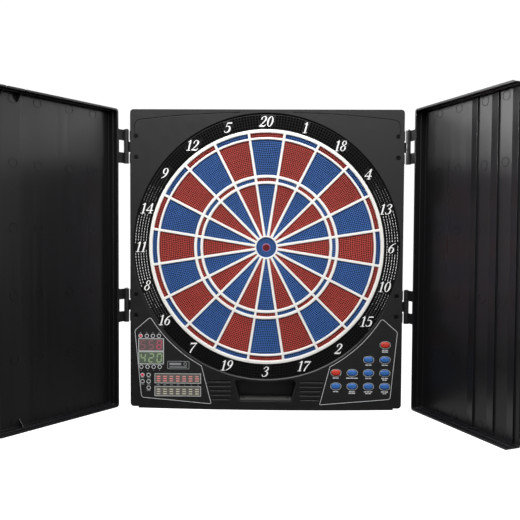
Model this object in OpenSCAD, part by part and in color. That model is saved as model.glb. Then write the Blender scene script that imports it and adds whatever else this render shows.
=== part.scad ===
// Electronic dartboard: a soft-tip target with score displays and a keypad, behind two cabinet doors.
// Origin on the wall plane behind the bull. +Z is up and the front faces -Y. Units are millimetres.
// The doors are drawn open, at the angles below, and that is the model's rest position.

/* [Housing] */
// Width of the housing
housing_w = 470; // [468:1:476]
// Height of the housing above the bull
housing_up = 236; // [235:1:240]
// Height of the housing below the bull, at its bottom corners
housing_down = 278; // [277:1:281]
// Depth from the wall to the front face
housing_d = 50; // [49:0.5:54]
// Thickness of the moulded walls
wall = 2.6; // [2:0.1:3]
// Radius of the housing's corners
corner_r = 6; // [4:0.5:8]
// Half width of the bulge along the bottom edge
chin_w = 221; // [215:1:224]

/* [Target] */
// Outer radius of the double ring, half of a 15.5 inch play area
play_r = 196.85; // [196.85:0.01:197]
// Radius of the red inner bull
bull_in_r = 6.75; // [6.35:0.05:6.9]
// Radius of the outer bull
bull_out_r = 17.35; // [16.5:0.05:17.6]
// Width of the radial bars of the spider
bar_w = 4.3; // [3.8:0.1:4.6]
// How far a bed travels when a dart hits it
bed_travel = 0.9; // [0.6:0.1:1]

/* [Doors] */
// Width of one door
door_w = 225; // [223:0.5:225.5]
// Height of the doors above the bull
door_up = 234; // [230:1:235]
// Height of the doors below the bull
door_down = 276; // [272:1:277]
// Total thickness of a door
door_t = 22.5; // [20:0.5:26]
// How far the left door stands open from closed
left_open = 125.7; // [60:0.1:180]
// How far the right door stands open from closed
right_open = 113.1; // [60:0.1:180]

/* [Buttons] */
// Length of an oval button
button_l = 15.6; // [14:0.1:16]
// Height of an oval button
button_h = 9.9; // [9:0.1:10.4]
// How far a button stands out of the panel
button_out = 1.9; // [1.4:0.1:2.2]

/* [Hidden] */
$fn = 96;

// Depth positions, all counted back from the front face
front_y = -housing_d;
plate_t = 3;
bezel_d = 12;
back_t = 3;
part_y = front_y + bezel_d;
plate_back = front_y + plate_t;
// Clearances around displays and lamps, and around buttons
window_gap = 0.25;
button_gap = 0.3;

// Target: the spider stands proud, the beds sit a little below it
spider_y = front_y - 0.6;
spider_d = 10.6;
bed_y = front_y + 1;
bed_d = 10.5;
bed_skin = 2.6;
bed_wall = 1.2;
bed_gap = 0.25;
flange_t = 1.4;
flange_lip = 0.7;
inner_bull_d = bed_d - 1;
inner_bull_flange = 1.8;
mat_y = bed_y + bed_d + bed_travel + 0.2;
mat_t = 2;
membrane_y = mat_y + mat_t + 0.1;
membrane_t = 0.4;
board_y = membrane_y + membrane_t + 0.1;
board_t = 5;
// Radii of the wires, from the bull outwards
wire_bull = bull_out_r + 2.85;
single_in = 109;
triple_in = 113.7;
triple_out = 119.5;
single_out_in = 124.5;
single_out = 184.9;
double_in = 188.7;
double_out = play_r - 0.5;
spider_r = 202.4;
ring_in_r = 202.9;
ring_out_r = 227.6;
open_r = 228.2;
chamfer = 2.3;
ring_y = front_y + 0.8;
ring_skin = 2.4;
mat_r = 202;
board_r = 226;
board_rib_r = [92, 187];

// Panels either side of the tray, drawn on the right and mirrored to the left
panel_arc_r = 233.5;
panel_pts = [[201, -121.3], [227.8, -144.8], [216.3, -262.5], [93.3, -273.3], [111.8, -202]];
panel_mid = [180, -205];
film_t = 0.35;

// Displays and lamps on the left panel
score_x = [-221.2, -176.7];
score_split = -181.6;
score_h = 22.7;
cricket_x = [-193, -112];
cricket_z = [-237.4, -259.9];
cricket_h = 17.6;
display_y = front_y - 0.2;
display_board_y = front_y + 8.1;
pcb_t = 1.6;
led_r = 1.5;
led_y = front_y - 0.8;
led_row_x = [-217.3, -206.4, -195.8, -185.3];
led_upper_z = -154.6;
led_lower_z = -208.5;
led_block = [[-214, -222.8], [-203.3, -222.8], [-214, -234.1], [-203.3, -234.1], [-203.3, -245.3]];
leds = concat(
    [for (x = led_row_x) [x, led_upper_z]],
    [for (x = led_row_x) [x + 1.2, led_lower_z]],
    led_block
);

// Buttons on the right panel: columns and rows of the grid
button_cols = [122.1, 150.2, 178.3, 206.4];
button_rows = [-167.3, -193.1, -216.2, -239.8];
// How far the outline of a button is from an ellipse (2) to a rectangle
button_power = 2.4;
button_travel = 1.2;
button_flange_t = 1;
button_flange_w = 1.5;
rubber_y = plate_back + button_flange_t + button_travel + 0.2;
rubber_t = 1.2;
keypad_board_y = rubber_y + rubber_t + 0.1;
panel_posts = [[205, -149], [150, -203], [112, -260]];
display_posts = [[205, -143], [150, -203], [106, -258]];

// Dart tray
tray_top = -228.4;
tray_bottom = -267.6;
tray_top_w = 56.3;
tray_bottom_w = 46.8;
tray_arc_r = 232;
tray_wall = 1.6;

// Grip grooves either side of the tray
groove_pitch = 7.8;
groove_top = -231;
groove_count = 5;
groove_x = 60;
groove_depth = 1.4;

// Screws
rear_screws = [[205, 205], [150, 222], [226, -268], [75, -256]];
screw_hole_r = 1.8;
screw_seat_y = -9;
screw_seat_r = 4.2;
pilot_r = 1.6;
post_r = 3;
rear_post_r = 5;
hinge_z = [172, -101];
hinge_screw_dz = 18;
hinge_screw_x = 225;

// Hinges
hinge_x = 241.5;
hinge_y = front_y;
knuckle_r = 4.35;
pin_r = 1.6;
pin_hole_r = 1.66;
knuckle_h = 19.2;
knuckle_gap = 0.2;
leaf_t = 2;
leaf_y = plate_back + 0.2;
leaf_in_x = 220.5;
stop_z = 11.6;
hinge_half = 1.5 * knuckle_h + knuckle_gap;

// Doors, in their closed place
door_gap = 1.5;
lip_y = front_y - door_gap;
door_x0 = 0.5;
door_x1 = door_x0 + door_w;
rim_t = 3;
rim_base_t = 4.5;
rim_step = 9.5;
panel_t = 3;
panel_y = lip_y - door_t + panel_t;
door_corner_r = 5;
louvres = [[117.5, 132.5], [160, 176], [201, 215.5]];
louvre_rise = 2.5;
louvre_cut = 1.2;
gusset_size = 13;
gusset_x = [180, 210];

// Electronics
main_board_y = -12.6;
main_board_half = [55, 40];
cable_start = [45, -25];
cable_end = [160, -212];
cable_y = -20;
cable_w = 16;
cable_t = 0.8;
speaker_z = -138;
jack_z = -220;
jack_y = -20;
jack_r = 2.85;
jack_len = 10;
jack_hole_r = 5.2;
key_half = 160;
key_r = 5;
key_slot_r = 2.6;
key_rise = 9;

// ---- helpers -------------------------------------------------------------------------------

function unit(v) = v / norm(v);

// Points of a rounded corner at p1, between the sides towards p0 and p2
function corner(p0, p1, p2, r, n = 8) =
    let (
        u = unit(p0 - p1),
        v = unit(p2 - p1),
        half = acos(u * v) / 2,
        mid = p1 + unit(u + v) * r / sin(half),
        from = p1 + u * r / tan(half) - mid,
        to = p1 + v * r / tan(half) - mid,
        a = atan2(from[1], from[0]),
        sweep = (atan2(to[1], to[0]) - a + 540) % 360 - 180
    )
    [for (k = [0:n]) mid + r * [cos(a + sweep * k / n), sin(a + sweep * k / n)]];

// A polygon's points with a radius at each corner, where 0 leaves the corner sharp
function rounded(pts, radii) =
    let (n = len(pts))
    [
        for (i = [0:n - 1])
            each (radii[i] == 0 ? [pts[i]]
                : corner(pts[(i + n - 1) % n], pts[i], pts[(i + 1) % n], radii[i]))
    ];

// Extrudes a shape drawn in X and Z from y back to y + t
module slab(y, t) {
    translate([0, y + t, 0]) rotate([90, 0, 0]) linear_extrude(t) children();
}

// A round disc from y back to y + t, with its own radius at the front and at the back
module disc(y, t, front_r, back_r) {
    translate([0, y + t, 0]) rotate([90, 0, 0]) cylinder(h = t, r1 = back_r, r2 = front_r);
}

module at(p) {
    translate([p[0], 0, p[1]]) children();
}

module ring2d(r_out, r_in) {
    difference() {
        circle(r_out, $fn = 240);
        circle(r_in, $fn = 240);
    }
}

module rect2d(x0, z0, x1, z1) {
    translate([x0, z0]) square([x1 - x0, z1 - z0]);
}

module both_sides() {
    children();
    mirror([1, 0, 0]) children();
}

// Bulge along the bottom edge, raised by d
function chin(d) = [
    for (k = [0:24])
        let (x = (chin_w - d) * (1 - k / 12))
        [x, d - housing_down - 2.6 - 2.4 * (1 - pow(x / chin_w, 2))]
];

// Outline of the housing, moved in by d
function outline_pts(d) =
    let (
        x = housing_w / 2 - d,
        top = housing_up - d,
        low = d - housing_down,
        r = max(corner_r - d, 1)
    )
    concat(
        corner([x, low], [x, top], [-x, top], r),
        corner([x, top], [-x, top], [-x, low], r),
        corner([-x, top], [-x, low], [x, low], r),
        [[d - chin_w, low]],
        [for (k = [24:-1:0]) chin(d)[k]],
        [[chin_w - d, low]],
        corner([-x, low], [x, low], [x, top], r)
    );

module outline(d) {
    polygon(outline_pts(d));
}

// ---- target --------------------------------------------------------------------------------

// One cell of the target between two radii, its sides kept clear of the bars' centre lines by side
module cell(side, r_in, r_out) {
    reach = 260;
    apex = side / sin(9);
    x = reach * sin(9) - side * cos(9);
    z = reach * cos(9) + side * sin(9);
    intersection() {
        ring2d(r_out, r_in);
        polygon([[0, apex], [x, z], [-x, z]]);
    }
}

module turned(i) {
    rotate([0, 0, -18 * i]) children();
}

// A hollow bed with an open back, held in by a flange behind the spider
module bed(i, r_in, r_out) {
    side = bar_w / 2 + bed_gap;
    inner = bed_gap + bed_wall;
    difference() {
        union() {
            slab(bed_y, bed_d) turned(i) cell(side, r_in + bed_gap, r_out - bed_gap);
            slab(bed_y + bed_d - flange_t, flange_t)
                turned(i) cell(bar_w / 2 - flange_lip, r_in - flange_lip, r_out + flange_lip);
        }
        slab(bed_y + bed_skin, bed_d)
            turned(i) cell(side + bed_wall, r_in + inner, r_out - inner);
    }
}

// The four beds of one number, counted clockwise from the top
module number_beds(i) {
    even = i % 2 == 0;
    color(even ? "royalblue" : "firebrick") {
        bed(i, single_out_in, single_out);
        bed(i, wire_bull, single_in);
    }
    color(even ? "firebrick" : "royalblue") {
        bed(i, double_in, double_out);
        bed(i, triple_in, triple_out);
    }
}

// The outer bull's counterbore holds the inner bull's flange, so the outer one carries it along
module outer_bull() {
    body_r = bull_out_r - bed_gap;
    hole_r = bull_in_r + bed_gap;
    counterbore_r = bull_in_r + inner_bull_flange + 0.65;
    color("royalblue")
    difference() {
        union() {
            disc(bed_y, bed_d, body_r, body_r);
            disc(bed_y + bed_d - flange_t, flange_t, bull_out_r + flange_lip, bull_out_r + flange_lip);
        }
        disc(bed_y - 1, bed_d + 2, hole_r, hole_r);
        disc(bed_y + inner_bull_d - flange_t - 0.1, bed_d, counterbore_r, counterbore_r);
    }
}

module inner_bull() {
    flange_r = bull_in_r + inner_bull_flange;
    hollow_r = bull_in_r - 1.5;
    color("firebrick")
    difference() {
        union() {
            disc(bed_y, inner_bull_d, bull_in_r, bull_in_r);
            disc(bed_y + inner_bull_d - flange_t, flange_t, flange_r, flange_r);
        }
        disc(bed_y + bed_skin, bed_d, hollow_r, hollow_r);
    }
}

module spider() {
    color("ivory") {
        slab(spider_y, spider_d) {
            ring2d(spider_r, double_out);
            ring2d(double_in, single_out);
            ring2d(single_out_in, triple_out);
            ring2d(triple_in, single_in);
            ring2d(wire_bull, bull_out_r);
            for (i = [0:19]) {
                turned(i + 0.5) rect2d(-bar_w / 2, bull_out_r + 1, bar_w / 2, spider_r - 1);
            }
        }
        slab(spider_y + spider_d - 0.5, mat_y - spider_y - spider_d + 0.4)
            ring2d(spider_r, spider_r - 2.5);
    }
}

module number_ring() {
    color("#141416")
    difference() {
        slab(ring_y, board_y - ring_y - 0.1) ring2d(ring_out_r, ring_in_r);
        slab(ring_y + ring_skin, board_y - ring_y) ring2d(ring_out_r - 1.5, ring_in_r + 1.5);
    }
}

module rubber_mat() {
    color("dimgray") disc(mat_y, mat_t, mat_r, mat_r);
}

module sensor_membrane() {
    color("darkkhaki") disc(membrane_y, membrane_t, mat_r, mat_r);
}

module backing_board() {
    color("peru")
    difference() {
        disc(board_y, board_t, board_r, board_r);
        slab(board_y - 1, board_t + 2) rect2d(-22, 30.5, 22, 34.5);
    }
}

// ---- housing -------------------------------------------------------------------------------

// A hook hole for a wall screw: the head goes in at the circle and the shank slides up
module keyhole() {
    circle(key_r);
    rect2d(-key_slot_r, 0, key_slot_r, key_rise);
    translate([0, key_rise]) circle(key_slot_r);
}

module board_ribs() {
    rib_y = board_y + board_t + 0.1;
    depth = -rib_y - back_t + 0.5;
    slab(rib_y, depth) {
        for (r = board_rib_r) ring2d(r, r - 2);
        for (k = [0:7]) {
            rotate(22.5 + 45 * k) rect2d(board_rib_r[0] - 1, -1, board_rib_r[1] - 1, 1);
        }
    }
}

module rear_post(p) {
    at(p) disc(part_y, -part_y - back_t + 0.5, rear_post_r, rear_post_r);
}

module speaker_slots() {
    for (k = [-3:3]) {
        half = 22 - 2 * abs(k);
        translate([6.5 * k, speaker_z]) rect2d(-1.5, -half, 1.5, half);
    }
}

module rear_housing() {
    color("#1d1d1f")
    difference() {
        union() {
            difference() {
                slab(part_y, -part_y) outline(0);
                slab(part_y - 1, 1 - part_y - back_t) outline(wall);
            }
            board_ribs();
            both_sides() for (p = rear_screws) rear_post(p);
            for (x = [-50, 50], z = [-35, 35]) {
                at([x, z])
                    disc(main_board_y + pcb_t, -main_board_y - pcb_t - back_t + 0.5, post_r, post_r);
            }
        }
        both_sides() for (p = rear_screws) at(p) {
            disc(part_y - 1, housing_d, screw_hole_r, screw_hole_r);
            disc(screw_seat_y, 10, screw_seat_r, screw_seat_r);
        }
        for (x = [-key_half, key_half], z = [-key_half, key_half]) {
            slab(-back_t - 1, back_t + 2) translate([x, z]) keyhole();
        }
        slab(-back_t - 1, back_t + 2) speaker_slots();
        both_sides() slab(cable_y - 3, 6) cable_line(cable_w + 4, 10);
        translate([housing_w / 2 - wall - 1, jack_y, jack_z]) rotate([0, 90, 0])
            cylinder(h = wall + 2, r = jack_hole_r);
    }
}

// Outline of a panel with its corners pulled towards the middle by share k
function panel_corners(k) = [for (p = panel_pts) p + (panel_mid - p) * k];

module panel_shape(k, arc_r, radii) {
    difference() {
        polygon(rounded(panel_corners(k), radii));
        circle(arc_r, $fn = 240);
    }
}

function rounder(v) = sign(v) * pow(abs(v), 2 / button_power);

module oval(l, h) {
    polygon([for (a = [3:6:357]) [l / 2 * rounder(cos(a)), h / 2 * rounder(sin(a))]]);
}

// Column and row of each button
button_places = [[3, 0], [2, 1], [3, 1], [0, 2], [1, 2], [2, 2], [3, 2], [0, 3], [1, 3], [2, 3], [3, 3]];

function button_at(i) = [button_cols[button_places[i][0]], button_rows[button_places[i][1]]];

module button_ovals(grow) {
    for (i = [0:len(button_places) - 1]) {
        translate(button_at(i)) oval(button_l + grow, button_h + grow);
    }
}

module display_windows(grow) {
    rect2d(score_x[0] - grow, score_split - score_h - grow, score_x[1] + grow, score_split + score_h + grow);
    for (z = cricket_z) {
        rect2d(cricket_x[0] - grow, z - grow, cricket_x[1] + grow, z + cricket_h + grow);
    }
}

function tray_pts(d) = rounded(
    [
        [tray_top_w - d, tray_top - d], [-tray_top_w + d, tray_top - d],
        [-tray_bottom_w + d, tray_bottom + d], [tray_bottom_w - d, tray_bottom + d]
    ],
    [8 - d, 8 - d, 6 - d, 6 - d]
);

// Mouth of the tray, moved in by d. The target's opening cuts its top edge.
module tray_mouth(d) {
    difference() {
        polygon(tray_pts(d));
        circle(tray_arc_r + d, $fn = 240);
    }
}

// Seam near the top edge: it starts at a small round mark and falls away towards the corner
seam_x = 48;
seam_depth = 1.2;

function seam_z(x) = housing_up - 5.4 - 11.6 * pow((x - seam_x) / 168, 1.8);

module top_seam() {
    width = 1;
    xs = [for (k = [0:14]) seam_x + 12 * k];
    translate([seam_x - 1.2, seam_z(seam_x) - width / 2]) circle(1.7);
    polygon(concat(
        [for (x = xs) [x, seam_z(x)]],
        [for (k = [14:-1:0]) [xs[k], seam_z(xs[k]) - width]]
    ));
    difference() {
        translate([216, seam_z(216) - 12]) ring2d(12, 12 - width);
        rect2d(200, 150, 216, 240);
        rect2d(200, 150, 240, seam_z(216) - 12);
    }
    rect2d(228 - width, 192, 228, seam_z(216) - 11.9);
}

// The panel's edge beside the tray, which the grip grooves stop short of
function panel_edge_x(z) =
    let (low = panel_pts[3], high = panel_pts[4])
    high[0] + (low[0] - high[0]) * (high[1] - z) / (high[1] - low[1]);

module grip_grooves() {
    for (k = [0:groove_count - 1]) {
        z = groove_top - groove_pitch * k;
        rect2d(groove_x, z - 3.4, panel_edge_x(z) - 4, z);
    }
}

module front_bezel() {
    color("#3a3a3c")
    difference() {
        union() {
            difference() {
                slab(front_y, bezel_d) outline(0);
                slab(plate_back, bezel_d) outline(wall);
            }
            slab(front_y, 10) ring2d(open_r + 1.6, open_r - 1);
            both_sides() for (p = rear_screws) at(p) disc(front_y + 1, bezel_d - 1, 4.4, 4.4);
            for (p = panel_posts) at(p) disc(front_y + 1, keypad_board_y - front_y - 1, post_r, post_r);
            for (p = display_posts) at([-p[0], p[1]])
                disc(front_y + 1, display_board_y - front_y - 1, post_r, post_r);
        }
        disc(front_y - 1, 20, open_r, open_r);
        disc(front_y - 0.01, chamfer, open_r + chamfer, open_r);
        slab(front_y - 1, 6) tray_mouth(-0.1);
        slab(front_y - 1, 6) display_windows(window_gap);
        slab(front_y - 1, 6) for (p = leds) translate(p) circle(led_r + window_gap);
        slab(front_y - 1, 6) button_ovals(2 * button_gap);
        both_sides() {
            slab(front_y - 1, 1 + seam_depth) top_seam();
            slab(front_y - 1, 1 + groove_depth) grip_grooves();
            for (p = rear_screws) at(p) disc(part_y - 7, 8, pilot_r, pilot_r);
            for (z = hinge_z) {
                translate([housing_w / 2 - wall - 0.5, leaf_y - 0.1, z - hinge_half - 0.1])
                    cube([wall + 1, leaf_t + 0.2, 2 * hinge_half + 0.2]);
                for (s = [-1, 1]) at([hinge_screw_x, z + s * hinge_screw_dz]) {
                    disc(front_y - 1, 2.9, 4, 4);
                    disc(front_y - 1, 8, screw_hole_r, screw_hole_r);
                }
            }
        }
    }
}

module dart_tray() {
    depth = housing_d - back_t - 0.7;
    color("#2a2a2b")
    difference() {
        slab(front_y + 0.6, depth) tray_mouth(0);
        slab(front_y - 1, depth) tray_mouth(tray_wall);
    }
}

module housing_screws() {
    color("#303032")
    both_sides() {
        for (p = rear_screws) at(p) {
            disc(screw_seat_y, 2, 3.4, 3.4);
            disc(part_y - 6, screw_seat_y + 0.5 - (part_y - 6), 1.4, 1.4);
        }
        for (z = hinge_z, s = [-1, 1]) at([hinge_screw_x, z + s * hinge_screw_dz]) {
            difference() {
                disc(front_y + 0.5, 1.3, 3.6, 3.6);
                for (a = [0, 90]) {
                    translate([0, front_y, 0]) rotate([0, a, 0]) cube([4, 2, 0.9], center = true);
                }
            }
            disc(front_y + 1.7, 6, 1.5, 1.5);
        }
    }
}

// ---- panels --------------------------------------------------------------------------------

module panel_overlays() {
    film = front_y - film_t;
    corner_radii = [5, 6, 5.5, 1.5, 1.5];
    color("#19191b") {
        difference() {
            slab(film, film_t) panel_shape(0, panel_arc_r, corner_radii);
            slab(film - 1, 3) button_ovals(2 * button_gap);
        }
        difference() {
            slab(film, film_t) mirror([1, 0]) panel_shape(0, panel_arc_r, corner_radii);
            slab(film - 1, 3) display_windows(window_gap);
            slab(film - 1, 3) for (p = leds) translate(p) circle(led_r + window_gap);
        }
    }
}

module panel_board(y, t) {
    slab(y, t) panel_shape(0.09, panel_arc_r + 5, [2, 2, 2, 2, 2]);
}

module display_board() {
    color("darkgreen") mirror([1, 0, 0]) panel_board(display_board_y, pcb_t);
}

module red_score_display() {
    color("#3a0c0c") slab(display_y, display_board_y - display_y)
        rect2d(score_x[0], score_split + 0.1, score_x[1], score_split + score_h);
}

module green_score_display() {
    color("#0c2a12") slab(display_y, display_board_y - display_y)
        rect2d(score_x[0], score_split - score_h, score_x[1], score_split - 0.1);
}

module cricket_displays() {
    color("#4a1512") slab(display_y, display_board_y - display_y) for (z = cricket_z) {
        rect2d(cricket_x[0], z, cricket_x[1], z + cricket_h);
    }
}

module indicator_leds() {
    color("tomato") for (p = leds) at(p) disc(led_y, display_board_y - led_y, led_r, led_r);
}

module keypad_rubber() {
    color("gray")
    difference() {
        panel_board(rubber_y, rubber_t);
        for (p = panel_posts) at(p) disc(rubber_y - 1, rubber_t + 2, 3.4, 3.4);
    }
}

module keypad_board() {
    color("darkgreen") panel_board(keypad_board_y, pcb_t);
}

// An oval button with a flange behind the front plate
module button(i, tint) {
    color(tint) at(button_at(i)) {
        slab(front_y - button_out, button_out + plate_t + 0.6) oval(button_l, button_h);
        slab(plate_back + 0.1, button_flange_t)
            oval(button_l + 2 * button_flange_w, button_h + 2 * button_flange_w);
    }
}

module start_button() { button(0, "firebrick"); }
module power_button() { button(1, "royalblue"); }
module sound_button() { button(2, "royalblue"); }
module select_button() { button(3, "firebrick"); }
module game_button() { button(4, "royalblue"); }
module player_button() { button(5, "royalblue"); }
module level_button() { button(6, "royalblue"); }
module handicap_button() { button(7, "royalblue"); }
module score_button() { button(8, "royalblue"); }
module double_button() { button(9, "royalblue"); }
module bounce_button() { button(10, "royalblue"); }

// ---- electronics ---------------------------------------------------------------------------

module main_board() {
    x = main_board_half[0];
    z = main_board_half[1];
    color("darkgreen") slab(main_board_y, pcb_t) rect2d(-x, -z, x, z);
    color("black") {
        slab(main_board_y - 2, 2.1) rect2d(-12, -10, 12, 14);
        slab(main_board_y - 1.6, 1.7) rect2d(22, -6, 36, 8);
        slab(main_board_y - 1.6, 1.7) rect2d(-38, 0, -24, 12);
    }
    color("ivory") slab(main_board_y - 5, 5.1) rect2d(-24, 33.2, 24, 38);
    color("silver") for (cap_x = [-22, 0, 22]) at([cap_x, -25]) disc(main_board_y - 7, 7.1, 4, 4);
}

// Path of a ribbon cable from the main board to a panel, as a straight strip
module cable_line(w, extra) {
    run = cable_end - cable_start;
    translate(cable_start) rotate(atan2(run[1], run[0])) rect2d(-extra, -w / 2, norm(run) + extra, w / 2);
}

module cable_tab(p) {
    run = cable_end - cable_start;
    translate(p) rotate(atan2(run[1], run[0])) rect2d(-cable_t, -cable_w / 2, 0, cable_w / 2);
}

module ribbon_cables() {
    color("lightgray") {
        both_sides() slab(cable_y, cable_t) cable_line(cable_w, 0);
        both_sides() slab(cable_y, main_board_y - cable_y - 0.1)
            translate([cable_t, 0]) cable_tab(cable_start);
        mirror([1, 0, 0]) slab(display_board_y + pcb_t + 0.1, cable_y - display_board_y - pcb_t)
            cable_tab(cable_end);
        slab(keypad_board_y + pcb_t + 0.1, cable_y - keypad_board_y - pcb_t) cable_tab(cable_end);
        slab(membrane_y + membrane_t + 0.05, main_board_y - membrane_y - membrane_t - 0.2)
            rect2d(-20, 32, 20, 32.8);
    }
}

module speaker() {
    color("dimgray") at([0, speaker_z]) {
        disc(-back_t - 2.1, 2, 28.5, 28.5);
        disc(-back_t - 10, 8, 14, 25);
        disc(-back_t - 16, 6.1, 14, 14);
    }
}

module power_jack() {
    back_x = housing_w / 2 - wall - 0.1;
    color("black")
    difference() {
        translate([back_x - jack_len - 3, jack_y - 5.5, jack_z - 5]) cube([jack_len + 3, 11, 10]);
        translate([back_x - jack_len, jack_y, jack_z]) rotate([0, 90, 0])
            cylinder(h = jack_len + 1, r = jack_r);
    }
}

// ---- doors and hinges ----------------------------------------------------------------------

module upright_bore(r, h) {
    translate([hinge_x, hinge_y, -h]) cylinder(h = 2 * h, r = r);
}

module knuckle(z) {
    translate([hinge_x, hinge_y, z - knuckle_h / 2]) cylinder(h = knuckle_h, r = knuckle_r);
}

module hinge_pins() {
    color("silver")
    both_sides() for (z = hinge_z) {
        translate([hinge_x, hinge_y, z - hinge_half]) cylinder(h = 2 * hinge_half + 0.5, r = pin_r);
        translate([hinge_x, hinge_y, z + hinge_half + 0.2]) cylinder(h = 1.2, r = 2.6);
    }
}

// The half of a hinge that is screwed inside the housing: a plate, two stops and the middle knuckle
module hinge_housing_leaves() {
    side_x = housing_w / 2;
    color("#2b2b2d")
    both_sides() for (z = hinge_z) translate([0, 0, z]) difference() {
        union() {
            slab(leaf_y, leaf_t) {
                rect2d(leaf_in_x, -hinge_half, side_x - 0.2, hinge_half);
                rect2d(side_x - 1, -knuckle_h / 2 + 0.8, hinge_x, knuckle_h / 2 - 0.8);
                for (s = [0, 1]) mirror([0, s])
                    rect2d(side_x - 1, stop_z, side_x + 1.6, hinge_half - 1.4);
            }
            knuckle(0);
        }
        upright_bore(pin_hole_r, 40);
        for (s = [-1, 1]) at([hinge_screw_x, s * hinge_screw_dz])
            disc(front_y, 12, screw_hole_r, screw_hole_r);
    }
}

// The half of a hinge that rides on a door: two knuckles, two links and a flange on the door's side
module door_leaf() {
    flange_x = door_x1 + 0.1;
    link_y = hinge_y - knuckle_r;
    difference() {
        union() {
            for (s = [-1, 1]) {
                knuckle(s * (knuckle_h + knuckle_gap));
                translate([flange_x, link_y, s * (knuckle_h + knuckle_gap) - knuckle_h / 2 + 0.6])
                    cube([hinge_x - flange_x, leaf_t, knuckle_h - 1.2]);
            }
            translate([flange_x, link_y - 14, -hinge_half])
                cube([leaf_t, 14 + leaf_t, 2 * hinge_half]);
        }
        upright_bore(pin_hole_r, 40);
    }
}

module right_swing() {
    translate([hinge_x, hinge_y, 0]) rotate([0, 0, right_open]) translate([-hinge_x, -hinge_y, 0])
        children();
}

module left_swing() {
    translate([-hinge_x, hinge_y, 0]) rotate([0, 0, -left_open]) translate([hinge_x, -hinge_y, 0])
        mirror([1, 0, 0]) children();
}

// A door's outline moved in by d, and on its free side by free_d
module door_plan(d, free_d) {
    polygon(rounded(
        [
            [door_x1 - d, door_up - d], [door_x0 + free_d, door_up - d],
            [door_x0 + free_d, d - door_down], [door_x1 - d, d - door_down]
        ],
        [for (k = [0:3]) max(door_corner_r - d, 0.8)]
    ));
}

// A closed right-hand door: a shallow tray whose rim is thicker towards its panel. One of the doors has no rim
// on its free side, where it closes against the rim of the other.
module door_tray(free_rim) {
    open_by = 8;
    difference() {
        slab(lip_y - door_t, door_t) door_plan(0, 0);
        slab(lip_y - rim_step, rim_step + 1) door_plan(rim_t, free_rim ? rim_t : -open_by);
        slab(panel_y, door_t) door_plan(rim_base_t, free_rim ? rim_base_t : -open_by);
    }
}

// A louvre runs the height of the door and rises from one distance to the other from the hinge side
module louvre(span, y, rise, z0, z1) {
    translate([0, 0, z0]) linear_extrude(z1 - z0) polygon([
        [door_x1 - span[0], y - 0.2], [door_x1 - span[0], y],
        [door_x1 - span[1], y + rise], [door_x1 - span[1], y - 0.2]
    ]);
}

// A corner brace between the door's rim and its panel, beside a slot in the rim
module gusset(x, top) {
    z = top ? door_up - rim_base_t + 0.2 : -door_down + rim_base_t - 0.2;
    s = top ? -1 : 1;
    translate([x, 0, 0]) rotate([90, 0, 90]) linear_extrude(2) polygon([
        [panel_y - 0.2, z], [panel_y - 0.2, z + s * gusset_size], [panel_y + gusset_size, z]
    ]);
}

module rim_slot(x, top) {
    z = top ? door_up - 6 : -door_down - 1;
    translate([x, lip_y - 9, z]) cube([1.4, 10, 7]);
}

module right_door() {
    inside = rim_base_t - 0.2;
    color("#26262a")
    right_swing() difference() {
        union() {
            door_tray(false);
            for (span = louvres) louvre(span, panel_y, louvre_rise, inside - door_down, door_up - inside);
        }
        for (span = louvres) {
            louvre(span, lip_y - door_t, louvre_cut, 8 - door_down, door_up - 8);
        }
    }
}

module left_door() {
    places = [[gusset_x[0], true], [gusset_x[1], true], [gusset_x[0], false]];
    color("#26262a")
    left_swing() difference() {
        union() {
            door_tray(true);
            for (p = places) gusset(door_x1 - p[0], p[1]);
        }
        for (p = places) rim_slot(door_x1 - p[0] + 3, p[1]);
    }
}

module right_hinge_leaves() {
    color("#2b2b2d") right_swing() for (z = hinge_z) translate([0, 0, z]) door_leaf();
}

module left_hinge_leaves() {
    color("#2b2b2d") left_swing() for (z = hinge_z) translate([0, 0, z]) door_leaf();
}

// ---- drawing -------------------------------------------------------------------------------

rear_housing();
front_bezel();
number_ring();
spider();
outer_bull();
inner_bull();
number_beds(0);  // beds_20
number_beds(1);  // beds_1
number_beds(2);  // beds_18
number_beds(3);  // beds_4
number_beds(4);  // beds_13
number_beds(5);  // beds_6
number_beds(6);  // beds_10
number_beds(7);  // beds_15
number_beds(8);  // beds_2
number_beds(9);  // beds_17
number_beds(10);  // beds_3
number_beds(11);  // beds_19
number_beds(12);  // beds_7
number_beds(13);  // beds_16
number_beds(14);  // beds_8
number_beds(15);  // beds_11
number_beds(16);  // beds_14
number_beds(17);  // beds_9
number_beds(18);  // beds_12
number_beds(19);  // beds_5
rubber_mat();
sensor_membrane();
backing_board();
main_board();
speaker();
power_jack();
ribbon_cables();
display_board();
red_score_display();
green_score_display();
cricket_displays();
indicator_leds();
panel_overlays();
keypad_board();
keypad_rubber();
start_button();
power_button();
sound_button();
select_button();
game_button();
player_button();
level_button();
handicap_button();
score_button();
double_button();
bounce_button();
dart_tray();
housing_screws();
hinge_housing_leaves();
hinge_pins();
left_door();
right_door();
left_hinge_leaves();
right_hinge_leaves();
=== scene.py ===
import math
import random

import bmesh
import bpy
from mathutils import Matrix, Vector
from mathutils.geometry import delaunay_2d_cdt

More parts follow.
